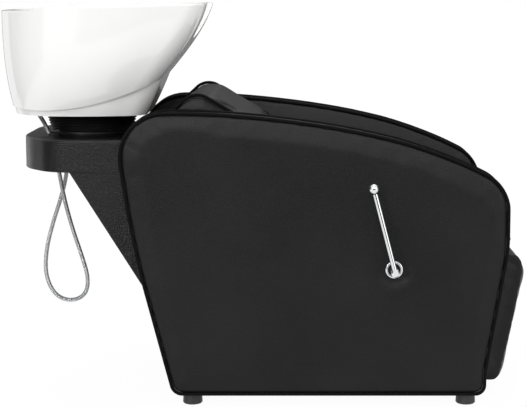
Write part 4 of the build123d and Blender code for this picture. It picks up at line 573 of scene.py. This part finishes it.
cushion("back_pad", back_corners, CUSHION_HALF, "back_cushion", "frame", -back_out, BACK_SWELL)
BACK_WELT_Y = 233.5 * MM
BACK_WELT_INSET = 3.6 * MM
back_seams = [outline_points(back_corners, BACK_WELT_INSET, side * BACK_WELT_Y) for side in (-1, 1)]
piping("back_piping", back_seams, None, "frame")

# Legrest: a firm foam pad on a plywood board, hung from a pin behind its top edge by two folded steel
# brackets. Rubber buffers on the front rail stop it when it hangs down.
HINGE = Vector((351 * MM, 0, 249 * MM))
LEGREST_LEAN = math.radians(10)
PAD_CORNERS = (
    (22.0, -207.0, 0.3), (94.0, -207.5, 0.5), (101.5, -164.0, 0.45), (107.5, -45.0, 0.5),
    (106.0, 84.0, 0.42), (89.0, 116.5, 0.42), (22.0, 116.5, 0.2),
)
PAD_HALF = 238 * MM
PAD_SWELL = 5 * MM
pad_across = Vector((math.cos(LEGREST_LEAN), 0, -math.sin(LEGREST_LEAN)))
pad_up = Vector((math.sin(LEGREST_LEAN), 0, math.cos(LEGREST_LEAN)))
pad_corners = []
for across, up, share in PAD_CORNERS:
    spot = HINGE + pad_across * (across * MM) + pad_up * (up * MM)
    pad_corners.append((spot.x, spot.z, share))
cushion("legrest_cushion", pad_corners, PAD_HALF, "legrest_pad", "legrest", -pad_across, PAD_SWELL)
dress(powder_coat, "legrest_bracket_left", "legrest_bracket_right")
dress(zinc_plate, "hinge_pin", "legrest_link_pin")
buffer_rubber = finish("buffer_rubber", (0.012, 0.012, 0.012), (0.020, 0.020, 0.020), (0.55, 0.70), 40.0)
dress(buffer_rubber, "legrest_buffers")

# Lever: a bent chrome rod with a ball grip, screwed into a zinc-plated shaft that turns in a nylon bush.
# A crank on the shaft and a link swing the legrest. A chrome ring trims the hole in the cover.
chrome = finish("chrome_plate", (0.70, 0.71, 0.72), (0.82, 0.83, 0.84), (0.06, 0.12), 20.0, Metallic=1.0)
nylon = finish("nylon", (0.60, 0.60, 0.56), (0.70, 0.70, 0.66), (0.40, 0.50), 30.0)
dress(chrome, "lever_ring", "lever_rod", "lever_ball")
dress(nylon, "lever_bush")
dress(zinc_plate, "lever_shaft", "lever_crank", "push_link")

# Casing: a vacuum-formed tray cover and the tail below it, black plastic with a speckled texture that
# breaks its highlights, held by zinc-plated straps round a steel column with two arms.
textured_plastic = finish(
    "textured_plastic", (0.0018, 0.0018, 0.0020), (0.0038, 0.0038, 0.0041), (0.18, 0.28), 9.0,
    grain=(420.0, 0.0010), Specular_IOR_Level=0.30,
)
dress(textured_plastic, "tray_cover", "rear_casing")
dress(zinc_plate, "casing_straps", "tilt_pins")
dress(powder_coat, "bowl_column", "bowl_arms", "tilt_plate")

# Bowl: one glazed white porcelain casting, its glaze smooth and glossy with hardly any change of tone,
# on a tilting steel plate whose studs are set in the casting's underside.
porcelain = finish(
    "porcelain", (0.845, 0.845, 0.838), (0.870, 0.870, 0.864), (0.10, 0.14), 3.0,
    Coat_Weight=0.5, Coat_Roughness=0.04, Specular_IOR_Level=0.45,
)
dress(porcelain, "bowl")
dress(zinc_plate, "bowl_studs")

# Bellows: a moulded rubber gaiter of seven sharp folds between the tray and the bowl. It gives when the bowl
# tilts;
# here it is spun as one piece and is attached to no body.
BELLOWS_X = -593 * MM
BELLOWS_LOW = 624.3
BELLOWS_HIGH = 680.0
BELLOWS_BASE = 99.0
BELLOWS_TOP = 111.0
BELLOWS_CUFF = 4.0
BELLOWS_FOLD = 5.5
BELLOWS_SKIN = 2.0
BELLOWS_RIBS = 7
BELLOWS_SIDES = 96
FOLD_PROFILE = ((0.0, 0.0), (0.85, 0.38), (1.0, 0.5), (0.85, 0.62))
gaiter_rubber = finish(
    "gaiter_rubber", (0.0055, 0.0055, 0.0055), (0.0095, 0.0095, 0.0095), (0.36, 0.48), 20.0,
    Specular_IOR_Level=0.40,
)
fold_pitch = (BELLOWS_HIGH - BELLOWS_LOW - 2 * BELLOWS_CUFF) / BELLOWS_RIBS
fold_line = [(BELLOWS_BASE, BELLOWS_LOW)]
for rib in range(BELLOWS_RIBS):
    low = BELLOWS_LOW + BELLOWS_CUFF + rib * fold_pitch
    wall = BELLOWS_BASE + (BELLOWS_TOP - BELLOWS_BASE) * rib / BELLOWS_RIBS
    fold_line += [(wall + out * BELLOWS_FOLD, low + up * fold_pitch) for out, up in FOLD_PROFILE]
fold_line += [(BELLOWS_TOP, BELLOWS_HIGH - BELLOWS_CUFF), (BELLOWS_TOP, BELLOWS_HIGH)]
fold_line += [(radius - BELLOWS_SKIN, height) for radius, height in reversed(fold_line)]
mesh = bmesh.new()
corners = [mesh.verts.new((BELLOWS_X + radius * MM, 0, height * MM)) for radius, height in fold_line]
edges = [mesh.edges.new((corners[index - 1], corners[index])) for index in range(len(corners))]
bmesh.ops.spin(
    mesh, geom=corners + edges, cent=(BELLOWS_X, 0, 0), axis=(0, 0, 1), angle=math.tau, steps=BELLOWS_SIDES,
    use_merge=True,
)
bellows = new_piece("gaiter", mesh, gaiter_rubber, 50)
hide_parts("bellows")
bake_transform(bellows)

# Waste: a chrome flange with its strainer in the drain hole, a nylon nut under it, and a ribbed grey hose
# from the flange's tail down through the column's side of the casing to the outlet near the floor.
pipe_plastic = finish("grey_pipe", (0.24, 0.25, 0.26), (0.33, 0.34, 0.35), (0.35, 0.50), 20.0)
dress(chrome, "waste_flange", "strainer")
dress(nylon, "waste_nut")
dress(pipe_plastic, "waste_outlet")

winding_group, winding_in, winding_out = shader_group(
    "winding", (("Turns per metre", FLOAT, 400.0),), (("Height", FLOAT),),
)
winding_along = add_node(winding_group, "ShaderNodeAttribute", attribute_name="along")
winding_turns = add_node(
    winding_group, "ShaderNodeMath",
    ((0, winding_along.outputs["Fac"]), (1, winding_in.outputs["Turns per metre"])), operation="MULTIPLY",
)
winding_phase = add_node(
    winding_group, "ShaderNodeMath", ((0, winding_turns.outputs[0]),), ((1, math.tau),), operation="MULTIPLY",
)
winding_wave = add_node(winding_group, "ShaderNodeMath", ((0, winding_phase.outputs[0]),), operation="SINE")
winding_group.links.new(winding_wave.outputs[0], winding_out.inputs["Height"])


def wound(material, turns, depth):
    """Add the ribs of a wound or corrugated wall to a hose's finish."""
    tree = material.node_tree
    winding = add_node(tree, "ShaderNodeGroup", node_tree=winding_group)
    winding.inputs["Turns per metre"].default_value = turns
    bump = add_node(tree, "ShaderNodeBump", (("Height", winding.outputs["Height"]),), (("Distance", depth),))
    tree.links.new(bump.outputs["Normal"], tree.nodes["Principled BSDF"].inputs["Normal"])
    return material


def hose_line(route, resolution):
    """Points of the smooth line that a route in millimetres pulls along."""
    curve = bpy.data.curves.new("route", "CURVE")
    curve.dimensions = "3D"
    spline = curve.splines.new("NURBS")
    spline.points.add(len(route) - 1)
    for point, spot in zip(spline.points, route):
        point.co = (*(value * MM for value in spot), 1.0)
    spline.order_u = 3
    spline.use_endpoint_u = True
    spline.resolution_u = resolution
    holder = bpy.data.objects.new("route", curve)
    line = bpy.data.meshes.new_from_object(holder)
    points = [vert.co.copy() for vert in line.vertices]
    bpy.data.objects.remove(holder)
    bpy.data.curves.remove(curve)
    bpy.data.meshes.remove(line)
    return points


def hose(name, points, radius, sides, material, node):
    """Hose as a mesh tube along its line."""
    mesh = bmesh.new()
    tube(mesh, points, radius, sides)
    piece = new_piece(name, mesh, material, 60)
    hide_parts(node)
    return piece


WASTE_RADIUS = 18 * MM
WASTE_SIDES = 24
WASTE_ROUTE = (
    (-580, 0, 655), (-580, 0, 585), (-548, 14, 505), (-497, 48, 405), (-407, 98, 288), (-346, 115, 215),
    (-326, 115, 163), (-326, 115, 118),
)
ribbed_pipe = wound(
    finish("ribbed_pipe", (0.24, 0.25, 0.26), (0.33, 0.34, 0.35), (0.35, 0.50), 20.0), 170.0, 0.0012,
)
waste_line = hose_line(WASTE_ROUTE, 12)
waste = hose("waste_pipe", waste_line, WASTE_RADIUS, WASTE_SIDES, ribbed_pipe, "waste_hose")
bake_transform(waste)

# Mixer and spray: a chrome single-lever mixer and a spray in its holder, both clamped through the tap
# ledge. The spray's hose, a wound steel sheath, hangs through the tray in a loop and comes back up.
dress(chrome, "mixer_body", "mixer_dome", "mixer_lever", "spray_holder", "spray_head")
dress(zinc_plate, "mixer_nut")
SPRAY_RADIUS = 5.25 * MM
SPRAY_SIDES = 16
SPRAY_ROUTE = (
    (-748, -60, 745), (-748, -60, 708), (-711, -60, 662), (-686, -60, 608), (-673, -60, 540), (-660, -60, 462),
    (-641, -60, 385), (-617, -60, 312), (-601, -59, 252), (-611, -58, 210), (-650, -56, 195), (-690, -54, 212),
    (-712, -52, 264), (-708, -50, 330), (-690, -47, 398), (-668, -44, 462), (-653, -41, 525), (-652, -36, 590),
    (-661, -30, 642), (-680, -20, 680), (-712, -2, 698), (-738, 22, 712), (-748, 45.5, 742), (-748, 45.5, 774),
)
wound_steel = wound(
    finish("wound_steel", (0.52, 0.53, 0.54), (0.66, 0.67, 0.68), (0.12, 0.20), 60.0, Metallic=1.0),
    420.0, 0.0004,
)
spray_line = hose_line(SPRAY_ROUTE, 14)
spray = hose("spray_pipe", spray_line, SPRAY_RADIUS, SPRAY_SIDES, wound_steel, "spray_hose")
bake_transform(spray)
